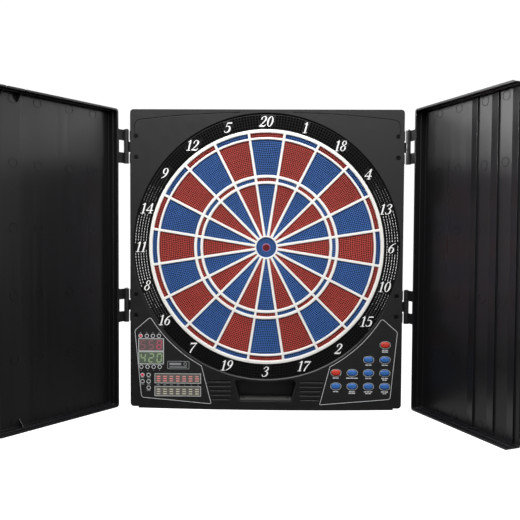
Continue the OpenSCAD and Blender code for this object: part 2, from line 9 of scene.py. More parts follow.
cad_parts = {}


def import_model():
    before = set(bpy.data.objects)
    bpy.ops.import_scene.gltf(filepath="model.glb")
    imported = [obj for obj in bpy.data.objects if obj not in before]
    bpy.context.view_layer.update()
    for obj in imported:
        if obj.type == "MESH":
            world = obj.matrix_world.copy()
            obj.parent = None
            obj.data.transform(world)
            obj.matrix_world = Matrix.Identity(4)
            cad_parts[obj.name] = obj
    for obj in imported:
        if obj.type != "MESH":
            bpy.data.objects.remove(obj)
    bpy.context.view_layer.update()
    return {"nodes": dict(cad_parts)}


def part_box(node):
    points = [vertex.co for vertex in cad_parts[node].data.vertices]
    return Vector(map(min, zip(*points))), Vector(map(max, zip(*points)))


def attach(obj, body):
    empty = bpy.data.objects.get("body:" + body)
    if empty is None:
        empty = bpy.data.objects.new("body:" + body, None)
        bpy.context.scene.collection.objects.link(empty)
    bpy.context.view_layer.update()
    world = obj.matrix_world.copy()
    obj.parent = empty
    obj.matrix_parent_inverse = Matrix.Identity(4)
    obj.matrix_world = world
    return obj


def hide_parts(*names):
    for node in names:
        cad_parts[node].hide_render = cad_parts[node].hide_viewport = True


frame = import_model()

# Shapes are drawn in millimetres, as (x, z) points seen from the front and a depth y, and scaled here
MM = 0.001
NUMBERS = [20, 1, 18, 4, 13, 6, 10, 15, 2, 17, 3, 19, 7, 16, 8, 11, 14, 9, 12, 5]
STEP = 18.0
random.seed(7)


# ---- measuring the CAD frame -----------------------------------------------------------------


def box(node):
    lo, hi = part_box(node)
    return [c / MM for c in lo], [c / MM for c in hi]


def front_points(node, depth=0.3):
    """Points of a node's front face, which is the part within depth of its foremost plane."""
    mesh = frame["nodes"][node].data
    points = [v.co / MM for v in mesh.vertices]
    foremost = min(p.y for p in points)
    return [(p.x, p.z) for p in points if p.y < foremost + depth]


def front_box(node):
    return extent_of(front_points(node))


def front_radii(node):
    """The distinct distances from the bull at which a node's front face has points."""
    found = []
    for r in sorted(math.hypot(*p) for p in front_points(node)):
        if not found or r - found[-1] > 0.2:
            found.append(r)
    return found


def front_loops(node, depth=0.05):
    """Closed outlines of a node's front face, longest first."""
    mesh = frame["nodes"][node].data
    points = [v.co / MM for v in mesh.vertices]
    foremost = min(p.y for p in points)
    key = [(round(p.x, 3), round(p.z, 3)) for p in points]
    edges = {}
    for face in mesh.polygons:
        ids = list(face.vertices)
        if any(points[k].y > foremost + depth for k in ids):
            continue
        for a, b in zip(ids, ids[1:] + ids[:1]):
            a, b = key[a], key[b]
            if a == b:
                continue
            if (b, a) in edges:
                del edges[(b, a)]
            else:
                edges[(a, b)] = True
    following = dict(edges.keys())
    loops = []
    while following:
        start, at = following.popitem()
        loop = [start]
        while at != start and at in following:
            loop.append(at)
            at = following.pop(at)
        loops.append(loop)
    return sorted(loops, key=len_of, reverse=True)


def len_of(loop):
    return sum(math.dist(a, b) for a, b in zip(loop, loop[1:] + loop[:1]))


# ---- drawing outlines --------------------------------------------------------------------------


def circle(r, count, x=0.0, z=0.0):
    return [(x + r * math.sin(2 * math.pi * k / count), z + r * math.cos(2 * math.pi * k / count))
            for k in range(count)]


def rect(x0, z0, x1, z1, r=0.0, count=5):
    """A rectangle, with rounded corners if r isn't 0."""
    if r == 0:
        return [(x0, z0), (x1, z0), (x1, z1), (x0, z1)]
    points = []
    for cx, cz, start in ((x1 - r, z1 - r, 0), (x1 - r, z0 + r, 90), (x0 + r, z0 + r, 180), (x0 + r, z1 - r, 270)):
        for k in range(count + 1):
            a = math.radians(start + 90 * k / count)
            points.append((cx + r * math.sin(a), cz + r * math.cos(a)))
    return points


def grown(points, d):
    """A closed outline moved out by d (in, if d is negative)."""
    area = sum(a[0] * b[1] - b[0] * a[1] for a, b in zip(points, points[1:] + points[:1]))
    side = -1 if area > 0 else 1
    out = []
    n = len(points)
    for k in range(n):
        p, q, r = Vector(points[k - 1]), Vector(points[k]), Vector(points[(k + 1) % n])
        u, v = (q - p).normalized(), (r - q).normalized()
        nu, nv = Vector((-u.y, u.x)) * side, Vector((-v.y, v.x)) * side
        m = nu + nv
        m = m / max(m.dot(nu), 0.35)
        out.append(tuple(q + m * d))
    return out


def cell(side, r_in, r_out, count):
    """Outline of one bed between two radii, whose sides run at a distance from the bars' centre lines."""
    half = math.radians(STEP / 2)
    narrowest = side / math.sin(half - math.radians(0.4))
    r_in = max(r_in, narrowest)
    a_out = half - math.asin(side / r_out)
    a_in = half - math.asin(side / r_in)
    points = []
    for k in range(count + 1):
        a = a_out * (2 * k / count - 1)
        points.append((r_out * math.sin(a), r_out * math.cos(a)))
    for k in range(count + 1):
        a = a_in * (1 - 2 * k / count)
        points.append((r_in * math.sin(a), r_in * math.cos(a)))
    return points


def turned(points, degrees):
    """Points turned clockwise about the bull, as the numbers run."""
    c, s = math.cos(math.radians(degrees)), math.sin(math.radians(degrees))
    return [(x * c + z * s, z * c - x * s) for x, z in points]


def within(outline, extent, point):
    """True if a point is inside a convex outline, whose extent is its lowest and highest x and z."""
    if not (extent[0] <= point[0] <= extent[2] and extent[1] <= point[1] <= extent[3]):
        return False
    sides = [(b[0] - a[0]) * (point[1] - a[1]) - (b[1] - a[1]) * (point[0] - a[0])
             for a, b in zip(outline, outline[1:] + outline[:1])]
    return min(sides) >= 0 or max(sides) <= 0


def extent_of(outline):
    xs, zs = [p[0] for p in outline], [p[1] for p in outline]
    return min(xs), min(zs), max(xs), max(zs)


def square(x, z, half, degrees=0.0, across=None):
    """A small hole's outline about a centre, tilted clockwise."""
    across = across or half
    return [(x + p, z + q) for p, q in turned([(-across, -half), (across, -half), (across, half), (-across, half)], degrees)]


# ---- building solids -----------------------------------------------------------------------------


class Solid:
    """A mesh put together from rings of points. Each face has the number of its material."""

    def __init__(self):
        self.points, self.faces, self.tints = [], [], []

    def ring(self, outline, y):
        start = len(self.points)
        self.points += [(x, y, z) for x, z in outline]
        return list(range(start, len(self.points)))

    def face(self, ids, tint=0):
        self.faces.append(tuple(ids))
        self.tints.append(tint)

    def loft(self, a, b, tint=0):
        for k in range(len(a)):
            n = (k + 1) % len(a)
            self.face((a[k], a[n], b[n], b[k]), tint)

    def lofts(self, rings, tint=0):
        for a, b in zip(rings, rings[1:]):
            self.loft(a, b, tint)

    def cap(self, rings, tint=0):
        """A flat face between the first ring and the others, which are its holes."""
        if len(rings) == 1:
            self.face(rings[0], tint)
            return
        ids = [k for ring in rings for k in ring]
        y = self.points[ids[0]][1]
        loops, start = [], 0
        for ring in rings:
            loops.append(list(range(start, start + len(ring))))
            start += len(ring)
        flat = [Vector((self.points[k][0], self.points[k][2])) for k in ids]
        out = delaunay_2d_cdt(flat, [], loops, 2, 1e-6)
        found = []
        for co, source in zip(out[0], out[3]):
            if source:
                found.append(ids[source[0]])
            else:
                self.points.append((co.x, y, co.y))
                found.append(len(self.points) - 1)
        for triangle in out[2]:
            self.face([found[k] for k in triangle], tint)

    def block(self, outline, y0, y1, tint=0, bevel=0.0):
        """A solid plate of one outline, with a small bevel on its front edge."""
        rings = []
        if bevel:
            rings += [self.ring(grown(outline, -bevel), y0), self.ring(grown(outline, -bevel * 0.3), y0 + bevel * 0.3)]
        rings += [self.ring(outline, y0 + bevel), self.ring(outline, y1)]
        self.cap(rings[:1], tint)
        self.lofts(rings, tint)
        self.cap(rings[-1:], tint)

    def band(self, outer, inner, y0, y1, tint=0):
        """A closed strip between two outlines with the same number of points."""
        rings = [self.ring(outer, y0), self.ring(inner, y0), self.ring(inner, y1), self.ring(outer, y1)]
        self.lofts(rings + rings[:1], tint)

    def blocks_of(self, shapes, y0, y1, tint=0):
        """One plate that is the union of overlapping outlines."""
        flat, loops = [], []
        for shape in shapes:
            loops.append(list(range(len(flat), len(flat) + len(shape))))
            flat += [Vector(p) for p in shape]
        out = delaunay_2d_cdt(flat, [], loops, 1, 1e-5)
        corners = [tuple(p) for p in out[0]]
        extents = [extent_of(shape) for shape in shapes]
        top = self.ring(corners, y0)
        bottom = self.ring(corners, y1)
        seen = {}
        for triangle in out[2]:
            middle = [sum(corners[k][axis] for k in triangle) / 3 for axis in (0, 1)]
            if not any(within(shape, extent, middle) for shape, extent in zip(shapes, extents)):
                continue
            self.face([top[k] for k in triangle], tint)
            self.face([bottom[k] for k in reversed(triangle)], tint)
            for a, b in zip(triangle, list(triangle[1:]) + [triangle[0]]):
                seen[(a, b)] = True
        for a, b in seen:
            if (b, a) not in seen:
                self.face((top[a], bottom[a], bottom[b], top[b]), tint)

    def mesh(self, name, sharp=32):
        mesh = bpy.data.meshes.new(name)
        mesh.from_pydata([(x * MM, y * MM, z * MM) for x, y, z in self.points], [], self.faces)
        mesh.polygons.foreach_set("material_index", self.tints)
        work = bmesh.new()
        work.from_mesh(mesh)
        loose = [v for v in work.verts if not v.link_faces]
        bmesh.ops.delete(work, geom=loose, context="VERTS")
        bmesh.ops.recalc_face_normals(work, faces=work.faces)
        work.to_mesh(mesh)
        work.free()
        mesh.shade_smooth()
        mesh.set_sharp_from_angle(angle=math.radians(sharp))
        return mesh


def add(name, mesh, materials, body, replaces=()):
    """Puts a finished mesh into the scene as a piece that rides on a body."""
    if isinstance(mesh, Solid):
        mesh = mesh.mesh(name)
    for material in materials:
        mesh.materials.append(material)
    piece = bpy.data.objects.new(name, mesh)
    bpy.context.scene.collection.objects.link(piece)
    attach(piece, body)
    if replaces:
        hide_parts(*replaces)
    return piece


# ---- materials -----------------------------------------------------------------------------------


class Nodes:
    """A material's nodes: Principled BSDF with noise in its colour, roughness and bump."""

    def __init__(self, name):
        self.material = bpy.data.materials.new(name)
        self.material.use_nodes = True
        self.tree = self.material.node_tree
        self.shader = self.tree.nodes["Principled BSDF"]
        self.place = self.new("ShaderNodeTexCoord").outputs["Object"]

    def new(self, kind, **values):
        node = self.tree.nodes.new(kind)
        for key, value in values.items():
            setattr(node, key, value)
        return node

    def link(self, output, target):
        self.tree.links.new(output, target)

    def noise(self, scale, detail=3.0, place=None):
        node = self.new("ShaderNodeTexNoise")
        node.inputs["Scale"].default_value = scale
        node.inputs["Detail"].default_value = detail
        self.link(place or self.place, node.inputs["Vector"])
        return node.outputs["Fac"]

    def ramp(self, fac, low, high, start=0.3, end=0.7):
        node = self.new("ShaderNodeMapRange")
        node.inputs["From Min"].default_value = start
        node.inputs["From Max"].default_value = end
        node.inputs["To Min"].default_value = low
        node.inputs["To Max"].default_value = high
        self.link(fac, node.inputs["Value"])
        return node.outputs["Result"]

    def mix(self, fac, a, b):
        node = self.new("ShaderNodeMix", data_type="RGBA")
        for source, socket in ((fac, node.inputs[0]), (a, node.inputs[6]), (b, node.inputs[7])):
            if isinstance(source, (tuple, float, int)):
                socket.default_value = source
            else:
                self.link(source, socket)
        return node.outputs[2]

    def bump(self, height, strength, distance, normal=None):
        node = self.new("ShaderNodeBump")
        node.inputs["Strength"].default_value = strength
        node.inputs["Distance"].default_value = distance
        self.link(height, node.inputs["Height"])
        if normal is not None:
            self.link(normal, node.inputs["Normal"])
        return node.outputs["Normal"]

    def soft_edges(self, radius):
        node = self.new("ShaderNodeBevel", samples=4)
        node.inputs["Radius"].default_value = radius
        return node.outputs["Normal"]

    def worn(self, soft, amount):
        """How far a point is on an edge: where the softened normal leaves the true one, broken up by noise."""
        true = self.new("ShaderNodeNewGeometry").outputs["Normal"]
        node = self.new("ShaderNodeVectorMath", operation="DOT_PRODUCT")
        self.link(soft, node.inputs[0])
        self.link(true, node.inputs[1])
        edge = self.ramp(node.outputs["Value"], amount, 0.0, 0.85, 0.99)
        product = self.new("ShaderNodeMath", operation="MULTIPLY")
        self.link(edge, product.inputs[0])
        self.link(self.ramp(self.noise(130.0, 5.0), 0.3, 1.0, 0.35, 0.6), product.inputs[1])
        return product.outputs["Value"]

    def set(self, name, value):
        if hasattr(value, "is_linked") or hasattr(value, "links"):
            self.link(value, self.shader.inputs[name])
        else:
            self.shader.inputs[name].default_value = value


def rgb(r, g, b):
    """A colour given as 0 to 255 sRGB, as linear light."""
    return tuple((c / 255 / 12.92 if c <= 10 else ((c / 255 + 0.055) / 1.055) ** 2.4) for c in (r, g, b)) + (1.0,)


def shade(colour, k):
    return tuple(min(1.0, c * k) for c in colour[:3]) + (1.0,)


def plastic(name, colour, rough=0.4, grain=900.0, grain_depth=0.00004, vary=0.12, edge=0.0, dust=0.0, edge_wear_and_highlight=0.0,
            specular=0.5):
    """Moulded plastic: fine grain, slow drift in colour and gloss, a little dust, and lighter edges, partly wear and
    partly a painted highlight.
    """
    n = Nodes(name)
    slow = n.noise(9.0, 2.0)
    tint = n.mix(n.ramp(slow, 0.0, 1.0), shade(colour, 1 - vary), shade(colour, 1 + vary))
    if dust:
        tint = n.mix(n.ramp(n.noise(240.0, 5.0), 0.0, dust, 0.52, 0.78), tint, shade(colour, 3.0))
    normal = n.soft_edges(edge) if edge else None
    # edges, concave ones too, painted 2.6 times lighter: partly wear, partly a painted highlight
    if edge_wear_and_highlight:
        tint = n.mix(n.worn(normal, edge_wear_and_highlight), tint, shade(colour, 2.6))
    n.set("Base Color", tint)
    n.set("Roughness", n.ramp(n.noise(60.0, 4.0), rough - 0.05, rough + 0.06))
    n.set("Specular IOR Level", specular)
    n.set("Normal", n.bump(n.noise(grain, 2.0), 0.35, grain_depth, normal))
    return n.material


def satin(name, colour, rough):
    """Smooth moulded panel: faint upright flow marks in its gloss, and a painted highlight on its edges."""
    n = Nodes(name)
    stretch = n.new("ShaderNodeMapping")
    stretch.inputs["Scale"].default_value = (1.0, 1.0, 0.03)
    n.link(n.place, stretch.inputs["Vector"])
    flow = n.noise(90.0, 4.0, stretch.outputs["Vector"])
    normal = n.soft_edges(0.0011)
    tint = n.mix(n.ramp(flow, 0.0, 1.0), shade(colour, 0.85), shade(colour, 1.15))
    # edges painted seven times lighter: a painted highlight along the louvre crests and rims
    n.set("Base Color", n.mix(n.worn(normal, 0.6), tint, shade(colour, 7.0)))
    n.set("Roughness", n.ramp(flow, rough - 0.03, rough + 0.03))
    n.set("Normal", n.bump(n.noise(700.0, 2.0), 0.25, 0.00003, normal))
    return n.material


def glowing(name, colour, glow, strength, rough=0.3):
    """A lit segment or lamp: tinted plastic that gives off light, in patches a little brighter or dimmer."""
    n = Nodes(name)
    n.set("Base Color", n.mix(n.ramp(n.noise(500.0), 0.0, 1.0), shade(colour, 0.85), colour))
    n.set("Roughness", n.ramp(n.noise(90.0), rough - 0.05, rough + 0.05))
    n.set("Emission Color", glow)
    n.set("Emission Strength", n.ramp(n.noise(420.0), strength * 0.8, strength * 1.15))
    return n.material


def metal(name, colour, rough=0.35):
    """Drawn steel with fine streaks."""
    n = Nodes(name)
    n.set("Base Color", n.mix(n.ramp(n.noise(35.0, 4.0), 0.0, 1.0), shade(colour, 0.8), colour))
    n.set("Metallic", 1.0)
    stretch = n.new("ShaderNodeMapping")
    stretch.inputs["Scale"].default_value = (1.0, 1.0, 0.04)
    n.link(n.place, stretch.inputs["Vector"])
    streak = n.noise(1400.0, 2.0, stretch.outputs["Vector"])
    n.set("Roughness", n.ramp(streak, rough - 0.08, rough + 0.1))
    n.set("Normal", n.bump(streak, 0.2, 0.00002, n.soft_edges(0.0003)))
    return n.material


def circuit_board():
    """Green lacquer over copper tracks, which run in two directions."""
    n = Nodes("circuit_board")
    cells = n.new("ShaderNodeTexVoronoi", distance="CHEBYCHEV", feature="F1")
    cells.inputs["Scale"].default_value = 260.0
    n.link(n.place, cells.inputs["Vector"])
    tracks = n.ramp(cells.outputs["Distance"], 0.0, 1.0, 0.46, 0.5)
    n.set("Base Color", n.mix(tracks, rgb(16, 74, 40), rgb(40, 116, 62)))
    n.set("Roughness", n.ramp(n.noise(150.0), 0.25, 0.4))
    n.set("Normal", n.bump(tracks, 0.4, 0.00004))
    return n.material


def pressed_board():
    """Brown hardboard with fibres."""
    n = Nodes("backing_board")
    fibre = n.noise(420.0, 8.0)
    n.set("Base Color", n.mix(n.ramp(fibre, 0.0, 1.0, 0.35, 0.65), rgb(92, 62, 38), rgb(148, 108, 70)))
    n.set("Roughness", n.ramp(fibre, 0.75, 0.95))
    n.set("Normal", n.bump(fibre, 0.5, 0.0002))
    return n.material


def ribbon():
    """Flat cable of parallel grey wires."""
    n = Nodes("ribbon_cable")
    wires = n.new("ShaderNodeTexWave", bands_direction="DIAGONAL")
    wires.inputs["Scale"].default_value = 260.0
    n.link(n.place, wires.inputs["Vector"])
    n.set("Base Color", n.mix(wires.outputs["Fac"], rgb(120, 120, 122), rgb(190, 190, 190)))
    n.set("Roughness", n.ramp(n.noise(200.0), 0.4, 0.55))
    n.set("Normal", n.bump(wires.outputs["Fac"], 0.5, 0.0002))
    return n.material


def printed_film():
    """Dark printed film with fine dots."""
    n = Nodes("panel_film")
    dots = n.new("ShaderNodeTexVoronoi", feature="F1")
    dots.inputs["Scale"].default_value = 700.0
    n.link(n.place, dots.inputs["Vector"])
    speck = n.ramp(dots.outputs["Distance"], 1.0, 0.0, 0.15, 0.45)
    n.set("Base Color", n.mix(speck, rgb(12, 12, 12), rgb(28, 29, 30)))
    n.set("Roughness", n.ramp(n.noise(120.0), 0.42, 0.55))
    n.set("Normal", n.bump(speck, 0.15, 0.00003, n.soft_edges(0.0004)))
    return n.material


M = {
    "blue": plastic("blue_bed", rgb(76, 122, 196), 0.36, 700.0, vary=0.08, dust=0.05),
    "red": plastic("red_bed", rgb(208, 86, 78), 0.36, 700.0, vary=0.08, dust=0.05),
    # darker copies of the bed colours: painted shade on the beds' sides, the holes' throats and their floors
    "blue_painted_shade": plastic("blue_bed_painted_shade", rgb(16, 28, 52), 0.6, 700.0),
    "red_painted_shade": plastic("red_bed_painted_shade", rgb(52, 14, 14), 0.6, 700.0),
    "dark_red": plastic("inner_bull_red", rgb(124, 34, 38), 0.35, 700.0),
    "bull_rim": plastic("inner_bull_rim", rgb(168, 92, 118), 0.35, 700.0),
    "spider": plastic("spider_ivory", rgb(241, 239, 234), 0.42, 500.0, vary=0.02),
    "ring": plastic("number_ring_black", rgb(14, 14, 15), 0.42, 500.0, specular=0.18),
    # near-black painted on the ring's hole walls and floors as shade; light greys painted on one hole wall as
    # highlights, in three strengths
    "hole": plastic("number_ring_painted_shade", rgb(5, 5, 5), 0.8, 500.0, specular=0.15),
    "painted_glint": plastic("number_ring_painted_glint", rgb(228, 228, 228), 0.3, 500.0, vary=0.1),
    "painted_glint_mid": plastic("number_ring_painted_glint_mid", rgb(136, 136, 136), 0.3, 500.0, vary=0.2),
    "painted_glint_low": plastic("number_ring_painted_glint_low", rgb(66, 66, 66), 0.3, 500.0, vary=0.3),
    "numeral": plastic("numeral_white", rgb(242, 242, 240), 0.4, 900.0, vary=0.03),
    "bezel": plastic("bezel_black", rgb(22, 22, 22), 0.36, 520.0, 0.00006, 0.08, 0.0008, dust=0.03, edge_wear_and_highlight=0.2),
    "housing": plastic("housing_black", rgb(23, 23, 23), 0.45, 520.0, 0.00006, 0.08, 0.0008, dust=0.03, edge_wear_and_highlight=0.5),
    "tray": plastic("tray_black", rgb(26, 26, 25), 0.5, 520.0, 0.00005, 0.08, 0.0004, edge_wear_and_highlight=0.3),
    "tray_pad": plastic("tray_pad_grey", rgb(62, 62, 60), 0.9, 420.0, 0.0003, 0.1, dust=0.25),
    "door": satin("door_black", rgb(15, 15, 17), 0.30),
    "hinge": plastic("hinge_black", rgb(22, 22, 23), 0.35, 600.0, 0.00004, 0.08, 0.0005, edge_wear_and_highlight=0.5),
    "blue_key": plastic("blue_key", rgb(54, 104, 172), 0.28, 600.0, vary=0.06),
    "red_key": plastic("red_key", rgb(196, 60, 46), 0.28, 600.0, vary=0.06),
    "print": plastic("print_grey", rgb(190, 192, 194), 0.5, 900.0, vary=0.06),
    "print_dim": plastic("print_dim", rgb(138, 140, 142), 0.5, 900.0, vary=0.1),
    "red_glass": plastic("red_display_glass", rgb(104, 90, 90), 0.22, 600.0, vary=0.06),
    "green_glass": plastic("green_display_glass", rgb(94, 106, 92), 0.22, 600.0, vary=0.06),
    "grey_glass": plastic("cricket_glass", rgb(104, 100, 96), 0.25, 600.0, vary=0.06),
    "display_rim": plastic("display_rim", rgb(184, 186, 184), 0.4, 600.0, vary=0.08),
    "red_dim": glowing("red_segment_dim", rgb(138, 98, 104), rgb(150, 60, 80), 0.06),
    "red_lit": glowing("red_segment_lit", rgb(168, 84, 102), rgb(190, 64, 92), 0.12),
    "green_lit": glowing("green_segment_lit", rgb(146, 166, 128), rgb(150, 176, 120), 0.09),
    "off_segment": glowing("segment_off", rgb(96, 84, 84), rgb(96, 82, 80), 0.02),
    "off_green": glowing("segment_off_green", rgb(84, 96, 82), rgb(66, 80, 62), 0.02),
    "pink_bar": glowing("pink_bar", rgb(222, 136, 134), rgb(226, 120, 118), 0.18),
    "pink_dim": glowing("pink_bar_dim", rgb(206, 152, 148), rgb(206, 140, 132), 0.08),
    "pale_bar": glowing("pale_bar", rgb(190, 188, 168), rgb(190, 188, 160), 0.08),
    "lamp_on": glowing("lamp_lit", rgb(204, 66, 88), rgb(226, 66, 92), 0.32, 0.2),
    "lamp_off": plastic("lamp_unlit", rgb(30, 20, 22), 0.15, 600.0),
    "rubber": plastic("mat_rubber", rgb(26, 26, 26), 0.8, 300.0, 0.0002, 0.15),
    "silicone": plastic("key_silicone", rgb(118, 120, 122), 0.65, 300.0, 0.0001, 0.1, 0.0003),
    "membrane": plastic("sensor_membrane", rgb(168, 158, 118), 0.3, 200.0, 0.00003, 0.2),
    "speaker": plastic("speaker_cone", rgb(52, 50, 48), 0.7, 260.0, 0.0002, 0.15, 0.0004),
    "jack": plastic("socket_black", rgb(18, 18, 18), 0.35, 600.0, 0.00003, 0.1, 0.0003),
    "steel": metal("hinge_pin_steel", rgb(178, 178, 182), 0.3),
    "dark_steel": metal("screw_steel", rgb(36, 36, 38), 0.45),
    "board": circuit_board(),
    "fibre": pressed_board(),
    "cable": ribbon(),
    "film": printed_film(),
}

for node, material in {
    "rear_housing": "housing", "front_bezel": "bezel", "dart_tray": "tray", "panel_overlays": "film",
    "rubber_mat": "rubber", "sensor_membrane": "membrane", "backing_board": "fibre", "main_board": "board",
    "display_board": "board", "keypad_board": "board", "keypad_rubber": "silicone", "speaker": "speaker",
    "power_jack": "jack", "ribbon_cables": "cable", "housing_screws": "dark_steel", "hinge_pins": "steel",
    "hinge_housing_leaves": "hinge", "left_hinge_leaves": "hinge", "right_hinge_leaves": "hinge",
    "left_door": "door", "right_door": "door",
}.items():
    carried = frame["nodes"][node]
    if not carried.material_slots:
        carried.data.materials.append(None)
    for place in carried.material_slots:
        place.link = "OBJECT"
        place.material = M[material]


# ---- target --------------------------------------------------------------------------------------

bed_lo, bed_hi = box("beds_20")
bed_y = bed_lo[1]
bed_back = bed_hi[1]
bed_radii = front_radii("beds_20")
bands = [(bed_radii[k], bed_radii[k + 1]) for k in (0, 2, 4, 6)]
half_step = math.radians(STEP / 2)
bed_side = min(abs(x * math.cos(half_step) - z * math.sin(half_step)) for x, z in front_points("beds_20"))
spider_y = box("spider")[0][1]
spider_back = box("spider")[1][1]
spider_r = box("spider")[1][0]
gap = front_radii("spider")[0] - front_radii("outer_bull")[-1]

# Of each band, from the bull outwards: rows of holes, half a hole's mouth and throat, border from a bed's edge
# to the nearest hole centres, bevel, wall
PITCH = 3.12
LAYOUT = {
    "single_inner": (None, 1.32, 1.10, 2.05, 0.60, 0.9),
    "triple": (2, 1.15, 0.95, 1.58, 0.32, 0.5),
    "single_outer": (None, 1.32, 1.10, 2.05, 0.60, 0.9),
    "double": (2, 1.45, 1.20, 2.04, 0.42, 0.7),
}
SKIN = 2.6
FUNNEL = 0.6


def hole_places(r_in, r_out, rows, border, mouth, bevel):
    """Hole centres, tilts and half widths: each row runs as an arc, with as many holes as fit."""
    span = r_out - r_in - 2 * border
    rows = rows or round(span / PITCH) + 1
    places = []
    for row in range(rows):
        r = r_in + border + span * row / (rows - 1)
        reach = max(half_step - math.asin((bed_side + border) / r), 0.0)
        count = int(2 * r * reach / PITCH + 0.5)
        pitch = 2 * r * reach / count if count else 2 * PITCH
        for k in range(count + 1):
            a = reach * (2 * k / count - 1) if count else 0.0
            to_side = half_step - abs(a)
            room = ((r - mouth) * math.sin(to_side) - bed_side - bevel - 0.1) / math.cos(to_side)
            half = min(mouth, pitch / 2 - 0.18, room)
            if half > 0.4:
                places.append((r * math.sin(a), r * math.cos(a), math.degrees(a), half))
    return places


def perforated_bed(name, r_in, r_out):
    rows, mouth, throat, border, bevel, wall = LAYOUT[name]
    count = 10 if r_out > 60 else 6
    s = Solid()

    def outline(d):
        return cell(bed_side - d, r_in - d, r_out + d, count)

    holes = hole_places(r_in, r_out, rows, border, mouth, bevel)
    front = s.ring(outline(-bevel), bed_y)
    shoulder = s.ring(outline(-bevel * 0.6), bed_y + bevel * 0.2)
    edge = s.ring(outline(0), bed_y + bevel)
    flange_y = bed_back - 1.4
    foot = s.ring(outline(0), flange_y)
    lip = s.ring(outline(gap + 0.7), flange_y)
    lip_back = s.ring(outline(gap + 0.7), bed_back)
    inner_back = s.ring(outline(-wall), bed_back)
    inner = s.ring(outline(-wall), bed_y + SKIN)
    s.lofts([front, shoulder])
    # from the bevel back, the bed's sides, inner walls and the skin's back are painted in the darker copy of its
    # colour, as shade
    s.lofts([shoulder, edge, foot, lip, lip_back, inner_back, inner], 1)
    mouths, ends = [], []
    for x, z, tilt, half in holes:
        inside = half - mouth + throat
        top = s.ring(square(x, z, mouth, tilt, half), bed_y)
        neck = s.ring(square(x, z, throat, tilt, inside), bed_y + FUNNEL)
        end = s.ring(square(x, z, throat, tilt, inside), bed_y + SKIN)
        s.loft(top, neck)
        # the throat below the funnel is painted dark, as shade
        s.loft(neck, end, 1)
        mouths.append(top)
        ends.append(end)
    s.cap([front] + mouths)
    s.cap([inner] + ends, 1)
    return s.mesh("bed_" + name, 30)


bed_meshes = {name: perforated_bed(name, *band) for name, band in zip(LAYOUT, bands)}
for i, number in enumerate(NUMBERS):
    for name, mesh in bed_meshes.items():
        single = name.startswith("single")
        blue = (i % 2 == 0) == single
        copy = mesh.copy()
        copy.transform(Matrix.Rotation(math.radians(STEP * i), 4, "Y"))
        colour = "blue" if blue else "red"
        add(f"bed_{number}_{name}", copy, [M[colour], M[colour + "_painted_shade"]], f"beds_{number}",
            (f"beds_{number}",))


def outer_bull():
    radii = front_radii("outer_bull")
    r_in, r_out = radii[0], radii[-1]
    count = 72
    s = Solid()
    flange = gap + 0.7
    back = box("outer_bull")[1][1]
    outer = [s.ring(circle(r_out + d, count), y) for d, y in
             ((-0.45, bed_y), (-0.13, bed_y + 0.13), (0, bed_y + 0.45), (0, back - 1.4), (flange, back - 1.4),
              (flange, back))]
    bore = [s.ring(circle(r_in + d, count), y) for d, y in
            ((0.45, bed_y), (0.13, bed_y + 0.13), (0, bed_y + 0.45), (0, back - 2.5), (2.2, back - 2.5), (2.2, back))]
    s.lofts(outer)
    s.lofts(bore)
    s.cap([outer[-1], bore[-1]])
    mouths = []
    for r, holes in ((9.15, 18), (12.1, 24), (15.05, 30)):
        for k in range(holes):
            a = 360 * k / holes
            x, z = r * math.sin(math.radians(a)), r * math.cos(math.radians(a))
            top = s.ring(square(x, z, 1.3, a, 1.25), bed_y)
            neck = s.ring(square(x, z, 1.12, a), bed_y + FUNNEL)
            floor = s.ring(square(x, z, 1.12, a), bed_y + 7.0)
            s.loft(top, neck)
            # walls and floor below the funnel painted dark, as shade in the blind hole
            s.loft(neck, floor, 1)
            s.cap([floor], 1)
            mouths.append(top)
    s.cap([outer[0], bore[0]] + mouths)
    add("outer_bull_bed", s, [M["blue"], M["blue_painted_shade"]], "outer_bull", ("outer_bull",))


def inner_bull():
    r_out = front_radii("inner_bull")[-1]
    back = box("inner_bull")[1][1]
    flange = box("inner_bull")[1][0] - r_out
    count = 60
    s = Solid()
    outer = [s.ring(circle(r_out + d, count), y) for d, y in
             ((-0.9, bed_y), (-0.5, bed_y + 0.12), (0, bed_y + 0.6), (0, back - 1.4), (flange, back - 1.4), (flange, back))]
    s.lofts(outer[:3], 2)
    s.lofts(outer[2:])
    s.cap([outer[-1]])
    mouths = []
    for r, holes in ((0.0, 1), (2.5, 6), (4.7, 11)):
        for k in range(holes):
            a = 360 * k / holes
            x, z = r * math.sin(math.radians(a)), r * math.cos(math.radians(a))
            top = s.ring(square(x, z, 0.85, a), bed_y)
            neck = s.ring(square(x, z, 0.65, a), bed_y + FUNNEL)
            floor = s.ring(square(x, z, 0.65, a), bed_y + 7.0)
            s.loft(top, neck)
            # walls and floor below the funnel painted dark, as shade in the blind hole
            s.loft(neck, floor, 1)
            s.cap([floor], 1)
            mouths.append(top)
    s.cap([outer[0]] + mouths)
    add("inner_bull_bed", s, [M["dark_red"], M["red_painted_shade"], M["bull_rim"]], "inner_bull", ("inner_bull",))


outer_bull()
inner_bull()


